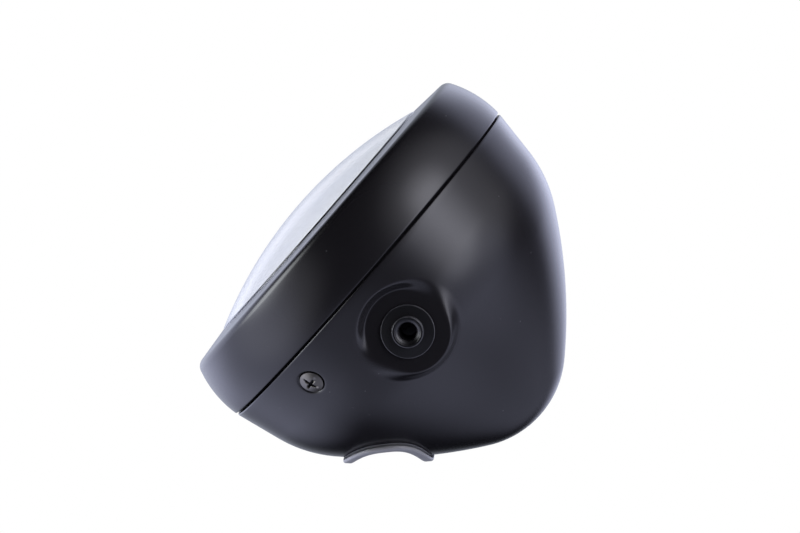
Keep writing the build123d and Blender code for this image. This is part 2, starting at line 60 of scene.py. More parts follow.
# %% [markdown]
# ## Helpers for meshes
# Sizes are in millimetres, as on the drawing, and turn into metres only where a mesh is made. Every piece
# of the lamp shades smoothly but for its sharp edges, has one finish and stands in for the solids that it
# replaces. Two helpers do that for all of them.


# %% Pieces
def make_piece(name, points, faces, normals=None, sharp=32):
    """Object from points in millimetres, smooth but for edges sharper than an angle."""
    mesh = bpy.data.meshes.new(name)
    mesh.from_pydata((np.asarray(points) * MM).tolist(), [], faces)
    if normals is None:
        shape = bmesh.new()
        shape.from_mesh(mesh)
        bmesh.ops.recalc_face_normals(shape, faces=shape.faces)
        shape.to_mesh(mesh)
        shape.free()
    mesh.polygons.foreach_set("use_smooth", [True] * len(mesh.polygons))
    mesh.set_sharp_from_angle(angle=math.radians(sharp))
    if normals is not None:
        mesh.normals_split_custom_set(normals)
    piece = bpy.data.objects.new(name, mesh)
    bpy.context.scene.collection.objects.link(piece)
    return piece


def dress(piece, slot, *nodes):
    """Give a piece its finish, and let it ride on the lamp in place of its CAD nodes."""
    piece.data.materials.clear()
    piece.data.materials.append(finishes[slot])
    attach(piece, "root")
    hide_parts(*nodes)
    print(piece.name, "has", len(piece.data.polygons), "faces")


# %% [markdown]
# Most pieces of a lamp are round. A section is drawn as (radius, station) points, its corners are
# rounded, and a lathe turns it about an axis. Blender's Spin could do that too, but a lathe over plain
# points closes the poles by itself and can vary the radius on the way round, which a thread needs.


# %% Turned sections
def arc(centre, radius, start, end, steps):
    """Points of an arc of a section, by the angle of its outward normal."""
    angles = np.linspace(start, end, steps)
    return [(centre[0] + radius * math.cos(a), centre[1] + radius * math.sin(a)) for a in angles]


def round_corners(points, steps=5):
    """Closed outline from (radius, station, rounding) corners, each rounding an arc."""
    outline = []
    for i, (r, y, rounding) in enumerate(points):
        corner = Vector((r, y))
        if not rounding:
            outline.append((r, y))
            continue
        before = (Vector(points[i - 1][:2]) - corner).normalized()
        after = (Vector(points[(i + 1) % len(points)][:2]) - corner).normalized()
        half = before.angle(after) / 2
        middle = corner + (before + after).normalized() * (rounding / math.sin(half))
        first = corner + before * (rounding / math.tan(half)) - middle
        turn = first.angle_signed(corner + after * (rounding / math.tan(half)) - middle)
        start = math.atan2(first.y, first.x)
        outline += arc(middle, rounding, start, start - turn, steps)
    return outline


def grid_faces(rows, columns, closed):
    """Four-sided faces between rows of points; in a closed grid the last row joins the first."""
    faces = []
    for i in range(rows if closed else rows - 1):
        low, high = i * columns, (i + 1) % rows * columns
        for j in range(columns):
            k = (j + 1) % columns
            faces.append((low + j, low + k, high + k, high + j))
    return faces


def lathe(section, columns, wobble=None):
    """Points and faces of a section turned about local z; ends on the axis become poles."""
    section = np.array(section, float)
    open_ended = section[0, 0] == 0 and section[-1, 0] == 0
    rings = section[1:-1] if open_ended else section
    angle = np.linspace(0, 2 * np.pi, columns, endpoint=False)[None, :]
    radius = np.repeat(rings[:, :1], columns, axis=1)
    height = np.repeat(rings[:, 1:], columns, axis=1)
    if wobble is not None:
        radius = wobble(radius, height, angle)
    points = np.stack([radius * np.cos(angle), radius * np.sin(angle), height], axis=-1).reshape(-1, 3)
    rows = len(rings)
    faces = grid_faces(rows, columns, not open_ended)
    if open_ended:
        tips = [(0, 0, section[0, 1]), (0, 0, section[-1, 1])]
        points = np.vstack([points, tips])
        for row, tip in ((0, len(points) - 2), (rows - 1, len(points) - 1)):
            faces += [(row * columns + j, row * columns + (j + 1) % columns, tip) for j in range(columns)]
    return points, faces


def placed(points, origin, x_axis, z_axis):
    """Points moved from a local frame to the lamp's frame."""
    z = np.array(z_axis, float)
    x = np.array(x_axis, float)
    y = np.cross(z, x)
    return np.array(origin) + points[:, :1] * x + points[:, 1:2] * y + points[:, 2:] * z


def on_axis(points, drop=0):
    """Points turned about local z, laid along the optical axis or at a drop below it."""
    return placed(points, (0, 0, -drop), (1, 0, 0), (0, 1, 0))


def smoothstep(value, low, high):
    """Smooth rise from 0 to 1 between two values."""
    share = np.clip((value - low) / (high - low), 0, 1)
    return share**3 * (share * (6 * share - 15) + 10)


# %% [markdown]
# Shell and reflector are sheets with holes, and a screw head is a face with a recess. Boolean cuts would
# leave ragged shading round them, so such a sheet is drawn flat first, as a pattern, and then wrapped on
# to its form. The pattern is triangulated round its edges, so every hole has a clean rim, and the normals
# come from the form itself, so the shine runs smoothly across the triangles.


# %% Flat patterns
def unit(rows):
    """Vectors made one long."""
    return rows / np.linalg.norm(rows, axis=1, keepdims=True)


def polar(distance, angle):
    """Flat points by their distance from the origin and their angle."""
    return np.stack([distance * np.cos(angle), distance * np.sin(angle)], axis=1)


def circle_loop(radius, count):
    """Flat circle of points about the origin."""
    return polar(radius, np.linspace(0, 2 * np.pi, count, endpoint=False))


def run_along(points):
    """Distance of each point along a line of points."""
    steps = np.linalg.norm(np.diff(points, axis=0), axis=1)
    return np.concatenate([[0], np.cumsum(steps)])


def set_out(loop, distance, hair=0.01):
    """Flat loop moved outwards by a distance."""
    along = unit(np.roll(loop, -1, axis=0) - np.roll(loop, 1, axis=0))
    side = np.stack([along[:, 1], -along[:, 0]], axis=1)
    if inside(loop[:1] + side[:1] * hair, loop)[0]:
        side = -side
    return loop + side * distance


def inside(points, loop):
    """Which flat points lie within a closed loop."""
    after = np.roll(loop, -1, axis=0)
    x, y = points[:, :1], points[:, 1:]
    rising = (loop[:, 1] > y) != (after[:, 1] > y)
    slope = np.divide(after[:, 0] - loop[:, 0], after[:, 1] - loop[:, 1] + 1e-12)
    return (rising & (x < loop[:, 0] + slope * (y - loop[:, 1]))).sum(axis=1) % 2 == 1


def normals_of(form, flat, step=0.15):
    """Normals of a wrapped form, from its slopes along both flat directions."""
    across, along = np.array([step, 0]), np.array([0, step])
    return unit(np.cross(form(flat + across) - form(flat - across), form(flat + along) - form(flat - along)))


# %% [markdown]
# The wrap makes a front and a back face from one pattern and closes them along every loop with a narrow
# wall. Corner normals are worked out with the faces, in the same order.


# %% A sheet drawn flat and wrapped
def wrap_sheet(loops, points, front, back, folds=()):
    """Points, faces and corner normals of a sheet, wrapped to a front and a back form. The flat loops are its
    edge and then its holes, and the triangles also keep to the loops along its folds."""
    flat = np.vstack([*loops, *folds, points])
    edges, rings, start = [], [], 0
    for loop in (*loops, *folds):
        ring = list(range(start, start + len(loop)))
        rings.append(ring)
        edges += zip(ring, ring[1:] + ring[:1])
        start += len(loop)
    made = delaunay_2d_cdt([Vector(p) for p in flat], edges, [], 0, 1e-7)
    place = np.array([ids[0] for ids in made[3]])
    triangles = np.array([[place[i] for i in face] for face in made[2]])
    middle = flat[triangles].mean(axis=1)
    keep = inside(middle, loops[0])
    for loop in loops[1:]:
        keep &= ~inside(middle, loop)
    triangles = triangles[keep]
    count = len(flat)
    skin, lining = front(flat), back(flat)
    skin_normals, lining_normals = normals_of(front, flat), -normals_of(back, flat)
    right_way = ((skin - lining) * skin_normals).sum() > 0
    if not right_way:
        triangles, skin_normals, lining_normals = triangles[:, ::-1], -skin_normals, -lining_normals
    turned_over = triangles[:, ::-1]
    faces = [tuple(face) for face in np.vstack([triangles, turned_over + count]).tolist()]
    normals = [*skin_normals[triangles].reshape(-1, 3), *lining_normals[turned_over].reshape(-1, 3)]
    for ring, loop in zip(rings, loops):
        after = np.roll(loop, -1, axis=0)
        area = (loop[:, 0] * after[:, 1] - after[:, 0] * loop[:, 1]).sum()
        outward = ((area > 0) == (ring is rings[0])) == right_way
        order = ring if outward else ring[::-1]
        along = skin[np.roll(order, -1)] - skin[np.roll(order, 1)]
        edge = unit(np.cross(along, skin[order] - lining[order]))
        for i, vertex in enumerate(order):
            j = (i + 1) % len(order)
            other = order[j]
            faces.append((other, vertex, vertex + count, other + count))
            normals += [edge[j], edge[i], edge[i], edge[j]]
    return np.vstack([skin, lining]), faces, np.array(normals)


# %% [markdown]
# ## Finishes
# Shader trees are usually drawn by hand in the editor. Here their maths is written as plain expressions,
# which are shorter to read: one small class wraps a socket, and each operator adds a Math node. Patterns
# read Object coordinates, in metres, so they keep their real scale.


# %% Socket maths
class Sock:
    """A shader socket that can be used in expressions."""

    def __init__(self, tree, socket=None):
        self.tree = tree
        self.socket = socket

    def node(self, kind, settings=None, values=None, out=0):
        """Add a node: its settings first, then the values or links of its sockets."""
        made = self.tree.nodes.new(kind)
        for key, value in (settings or {}).items():
            setattr(made, key, value)
        for key, value in (values or {}).items():
            if isinstance(value, Sock):
                self.tree.links.new(value.socket, made.inputs[key])
            else:
                made.inputs[key].default_value = value
        return Sock(self.tree, made.outputs[out])

    def maths(self, operation, *values):
        """Math node of some values."""
        return self.node("ShaderNodeMath", {"operation": operation}, dict(enumerate(values)))

    def __add__(self, other):
        return self.maths("ADD", self, other)

    def __sub__(self, other):
        return self.maths("SUBTRACT", self, other)

    def __rsub__(self, other):
        return self.maths("SUBTRACT", other, self)

    def __mul__(self, other):
        return self.maths("MULTIPLY", self, other)

    __radd__ = __add__
    __rmul__ = __mul__


# %% [markdown]
# Every finish is one Principled shader. Values that are even all over are set on its sockets, and only
# what varies over the surface is linked. The finishes share a few small functions: noise for what is
# uneven, a ramp that stretches a value, a mix of two tones, and a bump for fine relief.

# %% Shader helpers
finishes = {}


def new_finish(name, **constants):
    """Start a finish: a material with one Principled shader, whose even values are set on its own sockets."""
    material = bpy.data.materials.new(name)
    material.use_nodes = True
    shader = material.node_tree.nodes["Principled BSDF"]
    for key, value in constants.items():
        shader.inputs[key.replace("_", " ")].default_value = value
    finishes[name] = material
    print("finish:", name)
    return Sock(material.node_tree), shader


def feed(shader, name, source):
    """Link what varies over the surface to a socket of the shader."""
    source.tree.links.new(source.socket, shader.inputs[name])


def place_on(root):
    """Place on the object, in metres."""
    return root.node("ShaderNodeTexCoord", out="Object")


def vectors(root, operation, *values, out="Vector"):
    """Vector Math node of some values."""
    return root.node("ShaderNodeVectorMath", {"operation": operation}, dict(enumerate(values)), out)


def distance_off(root, keep):
    """Distance from an axis; keep is 0 along the axis and 1 across it."""
    across = vectors(root, "MULTIPLY", place_on(root), keep)
    return vectors(root, "LENGTH", across, out="Value")


def noise(root, scale, detail=3.0):
    """Noise with its scale per metre."""
    return root.node("ShaderNodeTexNoise", None, {"Vector": place_on(root), "Scale": scale, "Detail": detail})


def colour_mix(root, mask, first, second):
    """Colour between two by a mask; each is a tone or a socket."""
    first, second = [c if isinstance(c, Sock) else (*c, 1) for c in (first, second)]
    return root.node("ShaderNodeMix", {"data_type": "RGBA"}, {"Factor": mask, 6: first, 7: second}, out=2)


def ramp(root, value, low, high):
    """Value stretched so that low becomes 0 and high becomes 1, held between them."""
    return root.node("ShaderNodeMapRange", None, {"Value": value, "From Min": low, "From Max": high})


def bump(root, height, distance, strength=1.0):
    """Normal from a height, with its full rise in metres."""
    return root.node("ShaderNodeBump", None, {"Height": height, "Distance": distance, "Strength": strength})


# %% [markdown]
# ### Satin black powder coat
# The shell and rim are baked in black powder. It is never quite even: the film has a faint orange peel,
# its gloss drifts a little from place to place, and a few specks of dust sit on it. Noise of three sizes
# gives the first two without any picture file, and the cells of a Voronoi pattern give the specks.

# %% Black paint
paint_tone = (0.0145, 0.0135, 0.0148)
dust_tone = (0.12, 0.12, 0.12)


def black_paint():
    """Powder coat with orange peel, drifting gloss and specks of dust."""
    root, shader = new_finish("black_paint", Specular_IOR_Level=0.5)
    drift = noise(root, 28.0, 2.0)
    peel = noise(root, 900.0, 2.0)
    grain = noise(root, 5200.0, 2.0)
    specks = root.node("ShaderNodeTexVoronoi", {"feature": "F1"}, {"Vector": place_on(root), "Scale": 110.0})
    dust = 1 - ramp(root, specks, 0.028, 0.04)
    feed(shader, "Base Color", colour_mix(root, dust * 0.5, paint_tone, dust_tone))
    feed(shader, "Roughness", 0.2 + drift * 0.06 + grain * 0.05)
    feed(shader, "Normal", bump(root, peel * 0.7 + grain * 0.3, 0.02 * MM, 0.5))


black_paint()

# %% [markdown]
# ### Metals
# Turned, plated and blackened steel differ in colour, gloss and grain, and each could have a material of
# its own. They share one function instead, so that they look like one family: a base tone that drifts a
# little, a roughness that follows a fine grain, and shallow tool marks. On the bushes the turned edges are
# painted lighter, partly as blacking worn through and partly as painted highlight lines. The screws' recess
# is painted near black, as painted shade.

# %% Metals
bush_edges = (11.25, 6.45)
edge_line_band = (0.08 * MM, 0.24 * MM)


def worn_and_lit_edges(root):
    """Mask of the two outer edges of a side bush, by the distance from its axis: worn blacking and painted
    highlight lines.
    """
    radius = distance_off(root, (0, 1, 1))
    edges = [1 - ramp(root, root.maths("ABSOLUTE", radius - r * MM), *edge_line_band) for r in bush_edges]
    return (edges[0] + edges[1]) * ramp(root, noise(root, 160.0), 0.2, 0.6)


def recess_painted_shade(root):
    """Mask of a screw's recess, from its attribute, where shade is painted near black."""
    return root.node("ShaderNodeAttribute", {"attribute_name": "recess"}, out="Fac")


def metal(name, tone, gloss, metallic=1.0, grain_scale=2600.0, drift_share=0.18, mark=None, mark_tone=None):
    """Metal of a tone and a gloss; a mark is a mask that shows another tone."""
    root, shader = new_finish(name, Metallic=metallic)
    drift = noise(root, 120.0, 3.0)
    grain = noise(root, grain_scale, 2.0)
    dark = tuple(c * (1 - drift_share) for c in tone)
    colour = colour_mix(root, drift, dark, tone)
    if mark:
        colour = colour_mix(root, mark(root), colour, mark_tone)
    feed(shader, "Base Color", colour)
    feed(shader, "Roughness", gloss - 0.06 + grain * 0.12)
    feed(shader, "Normal", bump(root, grain, 0.01 * MM, 0.5))


black_steel, screw_grey = (0.012, 0.012, 0.013), (0.21, 0.2, 0.18)
bare_and_lit_edge_tone, recess_shade_tone = (0.085, 0.085, 0.09), (0.002, 0.002, 0.002)
# The bushes' turned edges take a lighter tone: worn blacking and painted highlight lines.
metal("bush_steel", black_steel, 0.3, 0.0, mark=worn_and_lit_edges, mark_tone=bare_and_lit_edge_tone)
# The screws' recess is painted near black, as shade.
metal("screw_steel", screw_grey, 0.36, 0.85, 1800.0, 0.45, recess_painted_shade, recess_shade_tone)
metal("zinc_steel", (0.62, 0.62, 0.6), 0.34)
metal("spring_steel", (0.56, 0.56, 0.57), 0.26)
metal("bulb_metal", (0.64, 0.63, 0.6), 0.28)
metal("filament_metal", (0.36, 0.36, 0.38), 0.42)
metal("terminal_brass", (0.74, 0.6, 0.3), 0.3)
metal("reflector_mirror", (0.92, 0.92, 0.93), 0.09, 1.0, 400.0, 0.02)

# %% [markdown]
# ### Rubber, moulded base and glass
# Rubber and plastic are dull with a fine pebbled skin. Glass bends light and has a slight blue tint. A
# thin clear film would render faster, but the lens has a real wall, so real refraction shows its
# thickness at the edge.

# %% Rubber and glass
white = (1.0, 1.0, 1.0)


def moulded(name, tone, gloss, pebble=1700.0):
    """Dull moulded skin."""
    root, shader = new_finish(name, Specular_IOR_Level=0.4)
    drift = noise(root, 140.0, 3.0)
    skin = noise(root, pebble, 3.0)
    feed(shader, "Base Color", colour_mix(root, drift, tuple(c * 0.75 for c in tone), tone))
    feed(shader, "Roughness", gloss - 0.05 + skin * 0.1)
    feed(shader, "Normal", bump(root, skin, 0.03 * MM, 0.6))


def glass(name, tint, gloss):
    """Clear glass with a faint uneven haze."""
    root, shader = new_finish(name, Transmission_Weight=1.0, IOR=1.5)
    haze = noise(root, 60.0, 4.0)
    feed(shader, "Base Color", colour_mix(root, haze, tint, white))
    feed(shader, "Roughness", haze * gloss)


moulded("trim_rubber", (0.36, 0.36, 0.355), 0.42)
moulded("black_rubber", (0.02, 0.02, 0.021), 0.6)
moulded("bulb_ceramic", (0.26, 0.21, 0.18), 0.55)
glass("lens_glass", (0.79, 0.83, 0.92), 0.05)
glass("bulb_glass", (0.97, 0.98, 1.0), 0.01)

# %% [markdown]
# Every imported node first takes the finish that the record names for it. That could be done by hand, but
# the record has a row for each node, so a loop does it. The pieces that show most are then replaced, one
# after another, by smoother ones.

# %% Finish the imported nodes
slots = {row["node"]: row["material_slot"] for row in frame["record"]["subparts"]}
for name, node in frame["nodes"].items():
    node.data.materials.clear()
    node.data.materials.append(finishes[slots[name]])
print("packed nodes with a finish:", len(slots))

# %% [markdown]
# ## Rim
# The rim is one pressed steel ring: a bulged side, a rounded corner, a nearly flat face and a lip turned
# in against the lens. A bevelled cylinder could stand for it, but a turned section gives every bend its
# own radius and the sheet its true wall.

# %% Rim section
seam_y = -28.4
seam_gap = 0.9
sheet_wall = 1.2
bezel_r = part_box("bezel")[1].x / MM
bezel_front_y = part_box("bezel")[0].y / MM
bezel_side_arc = 50.0
bezel_crown_ahead = 4.6
bezel_corner_r = 5.0
face_slope = math.radians(5.3)
lens_opening_r = 65.5
lip_return = 2.8
lip_round = 0.8
edge_round = 0.4
bulge_steps = 28
bend_steps = 20
rim_columns = 360
halvings = 40
rim_rear_y = seam_y - seam_gap / 2
mouth_y = seam_y + seam_gap / 2
side_centre = (bezel_r - bezel_side_arc, seam_y - bezel_crown_ahead)


def bezel_side_radius(y, inset=0.0):
    """Radius of the rim's bulged side at a station."""
    return side_centre[0] + math.sqrt((bezel_side_arc - inset) ** 2 - (y - side_centre[1]) ** 2)


def bezel_face_y(r, inset=0.0):
    """Station of the rim's front face at a radius."""
    return bezel_front_y + (r - lens_opening_r) * math.tan(face_slope) + inset / math.cos(face_slope)


def bezel_contour(inset):
    """Side arc and rounded corner of the rim, from the rear edge to the start of the face."""
    side, bend = bezel_side_arc - inset, bezel_corner_r - inset
    low, high = lens_opening_r, bezel_r
    for _ in range(halvings):
        r = (low + high) / 2
        y = bezel_face_y(r, inset + bend)
        if math.hypot(r - side_centre[0], y - side_centre[1]) < side - bend:
            low = r
        else:
            high = r
    rear = math.asin((rim_rear_y - side_centre[1]) / side)
    corner = math.atan2(y - side_centre[1], r - side_centre[0])
    bulge = arc(side_centre, side, rear, corner, bulge_steps)
    return bulge + arc((r, y), bend, corner, face_slope - math.pi / 2, bend_steps)[1:]


def bezel_section():
    """Closed section of the rim: up the outside, round the lip and back along the inside."""
    outer, inner = bezel_contour(0), bezel_contour(sheet_wall)
    lip_inner_r = lens_opening_r + sheet_wall
    return_y = bezel_front_y + lip_return
    face_y = bezel_face_y(lip_inner_r, sheet_wall)
    corners = [(*outer[0], edge_round)]
    corners += [(*p, 0) for p in outer[1:]]
    corners += [(lens_opening_r, bezel_front_y, lip_round)]
    corners += [(lens_opening_r, return_y, edge_round), (lip_inner_r, return_y, edge_round)]
    corners += [(lip_inner_r, face_y, edge_round)]
    corners += [(*p, 0) for p in inner[:0:-1]]
    corners += [(*inner[0], edge_round)]
    return round_corners(corners)


rim_points, rim_faces = lathe(bezel_section(), rim_columns)
bezel = make_piece("rim", on_axis(rim_points), rim_faces)
dress(bezel, "black_paint", "bezel")

# %% [markdown]
# ## Shell
# The shell is a deep-drawn bowl. Its section is a taper, two tangent arcs and a round tail, and its mouth
# is joggled inwards to slip under the rim. Sculpting could follow such a form, but a section of arcs
# keeps every curve fair, and fair curves are what shiny black shows first. The section is measured along
# the sheet from the tail, and the flat pattern uses that distance.

# %% Shell section
shell_taper = math.radians(10.2)
shoulder_lean = math.radians(36.0)
flank_lean = math.radians(53.3)
shell_taper_length = 21.35
shoulder_r = 59.3
flank_r = 232.5
mouth_round = 0.75
lip_length = 7.0
lip_clearance = 0.3
arc_steps = 900
taper_steps = 300
turn_steps = 60
lip_steps = 120
bowl_steps = 3 * arc_steps + taper_steps
seam_r = bezel_side_radius(seam_y)
lip_r = bezel_side_radius(rim_rear_y, sheet_wall) - lip_clearance


def on_arc(centre, radius, lean):
    """Point of an arc where the normal leans back from radial by an angle."""
    return (centre[0] + radius * math.cos(lean), centre[1] + radius * math.sin(lean))


def taper_radius(y, inset=0.0):
    """Radius of the shell's tapered mouth at a station."""
    return seam_r - (y - seam_y) * math.tan(shell_taper) - inset / math.cos(shell_taper)


shoulder_start = (taper_radius(seam_y + shell_taper_length), seam_y + shell_taper_length)
shoulder_centre = on_arc(shoulder_start, -shoulder_r, shell_taper)
flank_centre = on_arc(on_arc(shoulder_centre, shoulder_r, shoulder_lean), -flank_r, shoulder_lean)
tail_start = on_arc(flank_centre, flank_r, flank_lean)
tail_r = tail_start[0] / math.cos(flank_lean)
tail_centre = on_arc(tail_start, -tail_r, flank_lean)


def straight(start, end, steps):
    """Evenly spaced points from one to the other."""
    return [tuple(p) for p in np.linspace(start, end, steps)]


def shell_section(inset):
    """Section of the sheet from tail to lip, inset from its outer face; both faces have matching points."""
    bowl_arcs = [
        (tail_centre, tail_r, math.pi / 2, flank_lean),
        (flank_centre, flank_r, flank_lean, shoulder_lean),
        (shoulder_centre, shoulder_r, shoulder_lean, shell_taper),
    ]
    section = []
    for centre, radius, start, end in bowl_arcs:
        section += arc(centre, radius - inset, start, end, arc_steps)
    if inset:
        corner_y = mouth_y + inset
        bend_y = corner_y + edge_round
        bend, corner = [(taper_radius(y, inset), y) for y in (bend_y, corner_y)]
        turn = straight(bend, corner, turn_steps)
    else:
        bend_y = mouth_y + mouth_round
        bend = (taper_radius(bend_y, mouth_round), bend_y)
        turn = arc(bend, mouth_round, shell_taper, -math.pi / 2, turn_steps)
    lip_root = (lip_r - inset, turn[-1][1])
    lip_front = (lip_r - inset, mouth_y - lip_length)
    section += straight(section[-1], turn[0], taper_steps) + turn
    section += straight(turn[-1], lip_root, turn_steps) + straight(lip_root, lip_front, lip_steps)
    return np.array(section)


skin_section = shell_section(0)
lining_section = shell_section(sheet_wall)
reach = run_along(skin_section)
print("sheet from tail to lip:", round(reach[-1], 1), "mm")

# %% [markdown]
# Two round pads are pressed into the sides, and two dimples sink the screws. They could be joined on as
# solids, but a press bends one sheet. So each point of the bowl is moved as the press would move it, and
# the moves fade out into the plain bowl.

# %% Shell form
pad_x = 82.5
pad_flat_r = 17.6
pad_blend_r = 21.6
pad_flat_less = 2.2
pad_blend_more = 3.4
screw_behind_seam = 12.8
screw_below = math.radians(30.6)
screw_clocks = (-screw_below, math.pi + screw_below)
dimple_r = 6.05
dimple_edge = 0.35
dimple_depth = 3.85
screw_hole_r = 2.8
screw_y = seam_y + screw_behind_seam
screw_surface_r = taper_radius(screw_y)


def screw_axes(clock):
    """Place of a rim screw on the shell's face, and its outward and backward directions."""
    radial = np.array([math.cos(clock), 0, math.sin(clock)])
    back = np.array([0, 1.0, 0])
    out = radial * math.cos(shell_taper) + back * math.sin(shell_taper)
    along = back * math.cos(shell_taper) - radial * math.sin(shell_taper)
    return radial * screw_surface_r + back * screw_y, out, along


def turned(flat, reach, section):
    """Flat polar pattern to the turned form of a section, by the distance along it."""
    distance = np.hypot(flat[:, 0], flat[:, 1])
    angle = np.arctan2(flat[:, 1], flat[:, 0])
    radius = np.interp(distance, reach, section[:, 0])
    station = np.interp(distance, reach, section[:, 1])
    return np.stack([radius * np.cos(angle), station, radius * np.sin(angle)], axis=1)


def pressed(points, inset):
    """Press the side pads, whose edges are softer above and below, and the screw dimples into the bowl."""
    from_bush = np.hypot(points[:, 1], points[:, 2])
    soft = (points[:, 2] / np.maximum(from_bush, 1e-6)) ** 4
    share = smoothstep(from_bush, pad_flat_r - pad_flat_less * soft, pad_blend_r + pad_blend_more * soft)
    x = points[:, 0]
    points[:, 0] = np.sign(x) * (pad_x - inset) * (1 - share) + x * share
    for clock in screw_clocks:
        place, out, _ = screw_axes(clock)
        offset = points - place
        height = offset @ out
        radius = np.sqrt(np.maximum((offset**2).sum(axis=1) - height**2, 0))
        slope = dimple_r + inset * (math.sqrt(2) - 1) - radius
        sink = (slope + np.sqrt(slope**2 + dimple_edge**2)) / 2
        sink = np.minimum(sink, dimple_depth - inset)
        points -= np.where((radius < 2 * dimple_r) & (abs(height) < dimple_r), sink, 0)[:, None] * out
    return points


def shell_skin(flat):
    """Outer face of the shell."""
    return pressed(turned(flat, reach, skin_section), 0)


def shell_lining(flat):
    """Inner face of the shell."""
    return pressed(turned(flat, reach, lining_section), sheet_wall)


bowl_section = skin_section[bowl_steps - 1::-1]
bowl_reach = reach[bowl_steps - 1::-1]


def flat_of(points):
    """Flat pattern place of points on the plain bowl, by their station and angle."""
    distance = np.interp(points[:, 1], bowl_section[:, 1], bowl_reach)
    return polar(distance, np.arctan2(points[:, 2], points[:, 0]))


print("side pads at", pad_x, "mm, screws", round(screw_surface_r, 1), "mm from the axis")

# %% [markdown]
# The wiring opening is an oval punched at a slant through the rear bottom. A cutter solid could punch it,
# but the flat pattern needs its edge as a loop of points. So its outline is a superellipse, and each
# point of it is followed along the punch until it meets the bowl.

# %% Wiring opening
opening_behind_seam = 65.2
opening_tilt = math.radians(50.0)
opening_length = 88.0
opening_width = 35.0
opening_power = 2.6
outline_points = 1440
opening_points = 220
opening_y = seam_y + opening_behind_seam
punch = np.array([0, math.cos(opening_tilt), -math.sin(opening_tilt)])
opening_up = np.cross(punch, (1.0, 0, 0))


def bowl_radius(y):
    """Outer radius of the plain bowl at a station."""
    return np.interp(y, bowl_section[:, 1], bowl_section[:, 0])


def opening_edge(count):
    """Points of the opening's edge on the outer face."""
    angle = np.linspace(0, 2 * np.pi, count, endpoint=False)
    share = 2 / opening_power
    across = np.sign(np.cos(angle)) * abs(np.cos(angle)) ** share * opening_length / 2
    upward = np.sign(np.sin(angle)) * abs(np.sin(angle)) ** share * opening_width / 2
    centre = np.array([0, opening_y, -bowl_radius(opening_y)])
    outline = centre + across[:, None] * np.array([1.0, 0, 0]) + upward[:, None] * opening_up
    low, high = np.full(count, -opening_width), np.full(count, opening_width)
    for _ in range(halvings):
        middle = (low + high) / 2
        spot = outline + middle[:, None] * punch
        within = np.hypot(spot[:, 0], spot[:, 2]) < bowl_radius(spot[:, 1])
        low, high = np.where(within, middle, low), np.where(within, high, middle)
    return outline + low[:, None] * punch


def even_loop(points, count):
    """Closed loop with its points spread evenly along it."""
    closed = np.vstack([points, points[:1]])
    length = run_along(closed)
    place = np.linspace(0, length[-1], count, endpoint=False)
    return np.stack([np.interp(place, length, closed[:, k]) for k in range(closed.shape[1])], axis=1)


opening_loop = even_loop(opening_edge(outline_points), opening_points)
print("wiring opening:", np.ptp(opening_loop, axis=0).round(1), "mm")

# %% [markdown]
# The flat pattern has evenly spaced rows on the plain bowl. Alone they would blur the pads and dimples, so
# closer rings follow where the sheet bends, and points of the rows that would run into a ring or the
# opening are left out. At the mouth the rows are folds, which the triangles keep to, so the joggle stays
# crisp.

# %% Shell sheet
bush_hole_r = 7.1
pattern_gap = 3.0
pad_clear_r = 25.4
pad_radii = [9, 12, 14.2, 15.2, 16.2, *np.arange(pad_flat_r - 0.5, pad_blend_r + 0.9, 0.4), 23.4, 24.4]
pad_points = 120
dimple_clear_r = 9.4
dimple_radii = [3.4, 4.2, 5.0, *np.arange(dimple_r - 0.7, dimple_r + 0.8, 0.18), 7.3, 8.2]
dimple_points = 60
opening_clear = 4.3
opening_rows = (1.2, 2.8)
taper_rows = 8
taper_points = 200
mouth_points = 240
turn_fold_step = 7
lip_fold_step = 30
least_points = 12


def pad_ring(radius, side):
    """Flat pattern of a ring about a side bush."""
    ring = circle_loop(radius, pad_points)
    x = np.sqrt(bowl_radius(ring[:, 0]) ** 2 - ring[:, 1] ** 2)
    return flat_of(np.stack([side * x, ring[:, 0], ring[:, 1]], axis=1))


def dimple_ring(radius, clock):
    """Flat pattern of a ring about a rim screw."""
    place, out, along = screw_axes(clock)
    ring = circle_loop(radius, dimple_points)
    return flat_of(place + ring[:, :1] * along + ring[:, 1:] * np.cross(out, along))


def bowl_rows():
    """Flat points of the plain bowl, and the loops of its folds with the edge of its lip as the last."""
    taper_start = reach[3 * arc_steps - 1]
    rows = [np.zeros((1, 2))]
    for distance in np.arange(pattern_gap, taper_start - pattern_gap / 2, pattern_gap):
        around = 2 * np.pi * np.interp(distance, reach, skin_section[:, 0])
        rows.append(circle_loop(distance, max(least_points, int(around / pattern_gap))))
    *taper, turn_start = np.linspace(taper_start, reach[bowl_steps - 1], taper_rows + 1)
    rows += [circle_loop(distance, taper_points) for distance in taper]
    turn_end = bowl_steps + turn_steps
    folds = [turn_start, *reach[bowl_steps:turn_end:turn_fold_step], *reach[turn_end::lip_fold_step]]
    return np.vstack(rows), [circle_loop(distance, mouth_points) for distance in folds]


def shell_pattern():
    """Flat loops, points and folds of the shell's sheet."""
    rows, (*folds, lip_edge) = bowl_rows()
    opening = flat_of(opening_loop)
    clear = ~inside(rows, set_out(opening, opening_clear))
    holes, rings = [opening], []
    for side in (1, -1):
        clear &= ~inside(rows, pad_ring(pad_clear_r, side))
        holes.append(pad_ring(bush_hole_r, side))
        rings += [pad_ring(radius, side) for radius in pad_radii]
    for clock in screw_clocks:
        clear &= ~inside(rows, dimple_ring(dimple_clear_r, clock))
        holes.append(dimple_ring(screw_hole_r, clock))
        rings += [dimple_ring(radius, clock) for radius in dimple_radii]
    rings += [set_out(opening, distance) for distance in opening_rows]
    return [lip_edge, *holes], np.vstack([rows[clear], *rings]), folds


shell_loops, shell_flat, shell_folds = shell_pattern()
shell = make_piece("shell_bowl", *wrap_sheet(shell_loops, shell_flat, shell_skin, shell_lining, shell_folds))
dress(shell, "black_paint", "shell")

# %% [markdown]
# ## Edge trim
# The raw edge of the opening is sharp, so a grey rubber channel is pushed over it. Its section is a
# rounded U that holds the sheet in its slot. A curve with a bevel could carry that section, but it would
# twist on its way. So a small function sweeps the section, square to the sheet at each point.

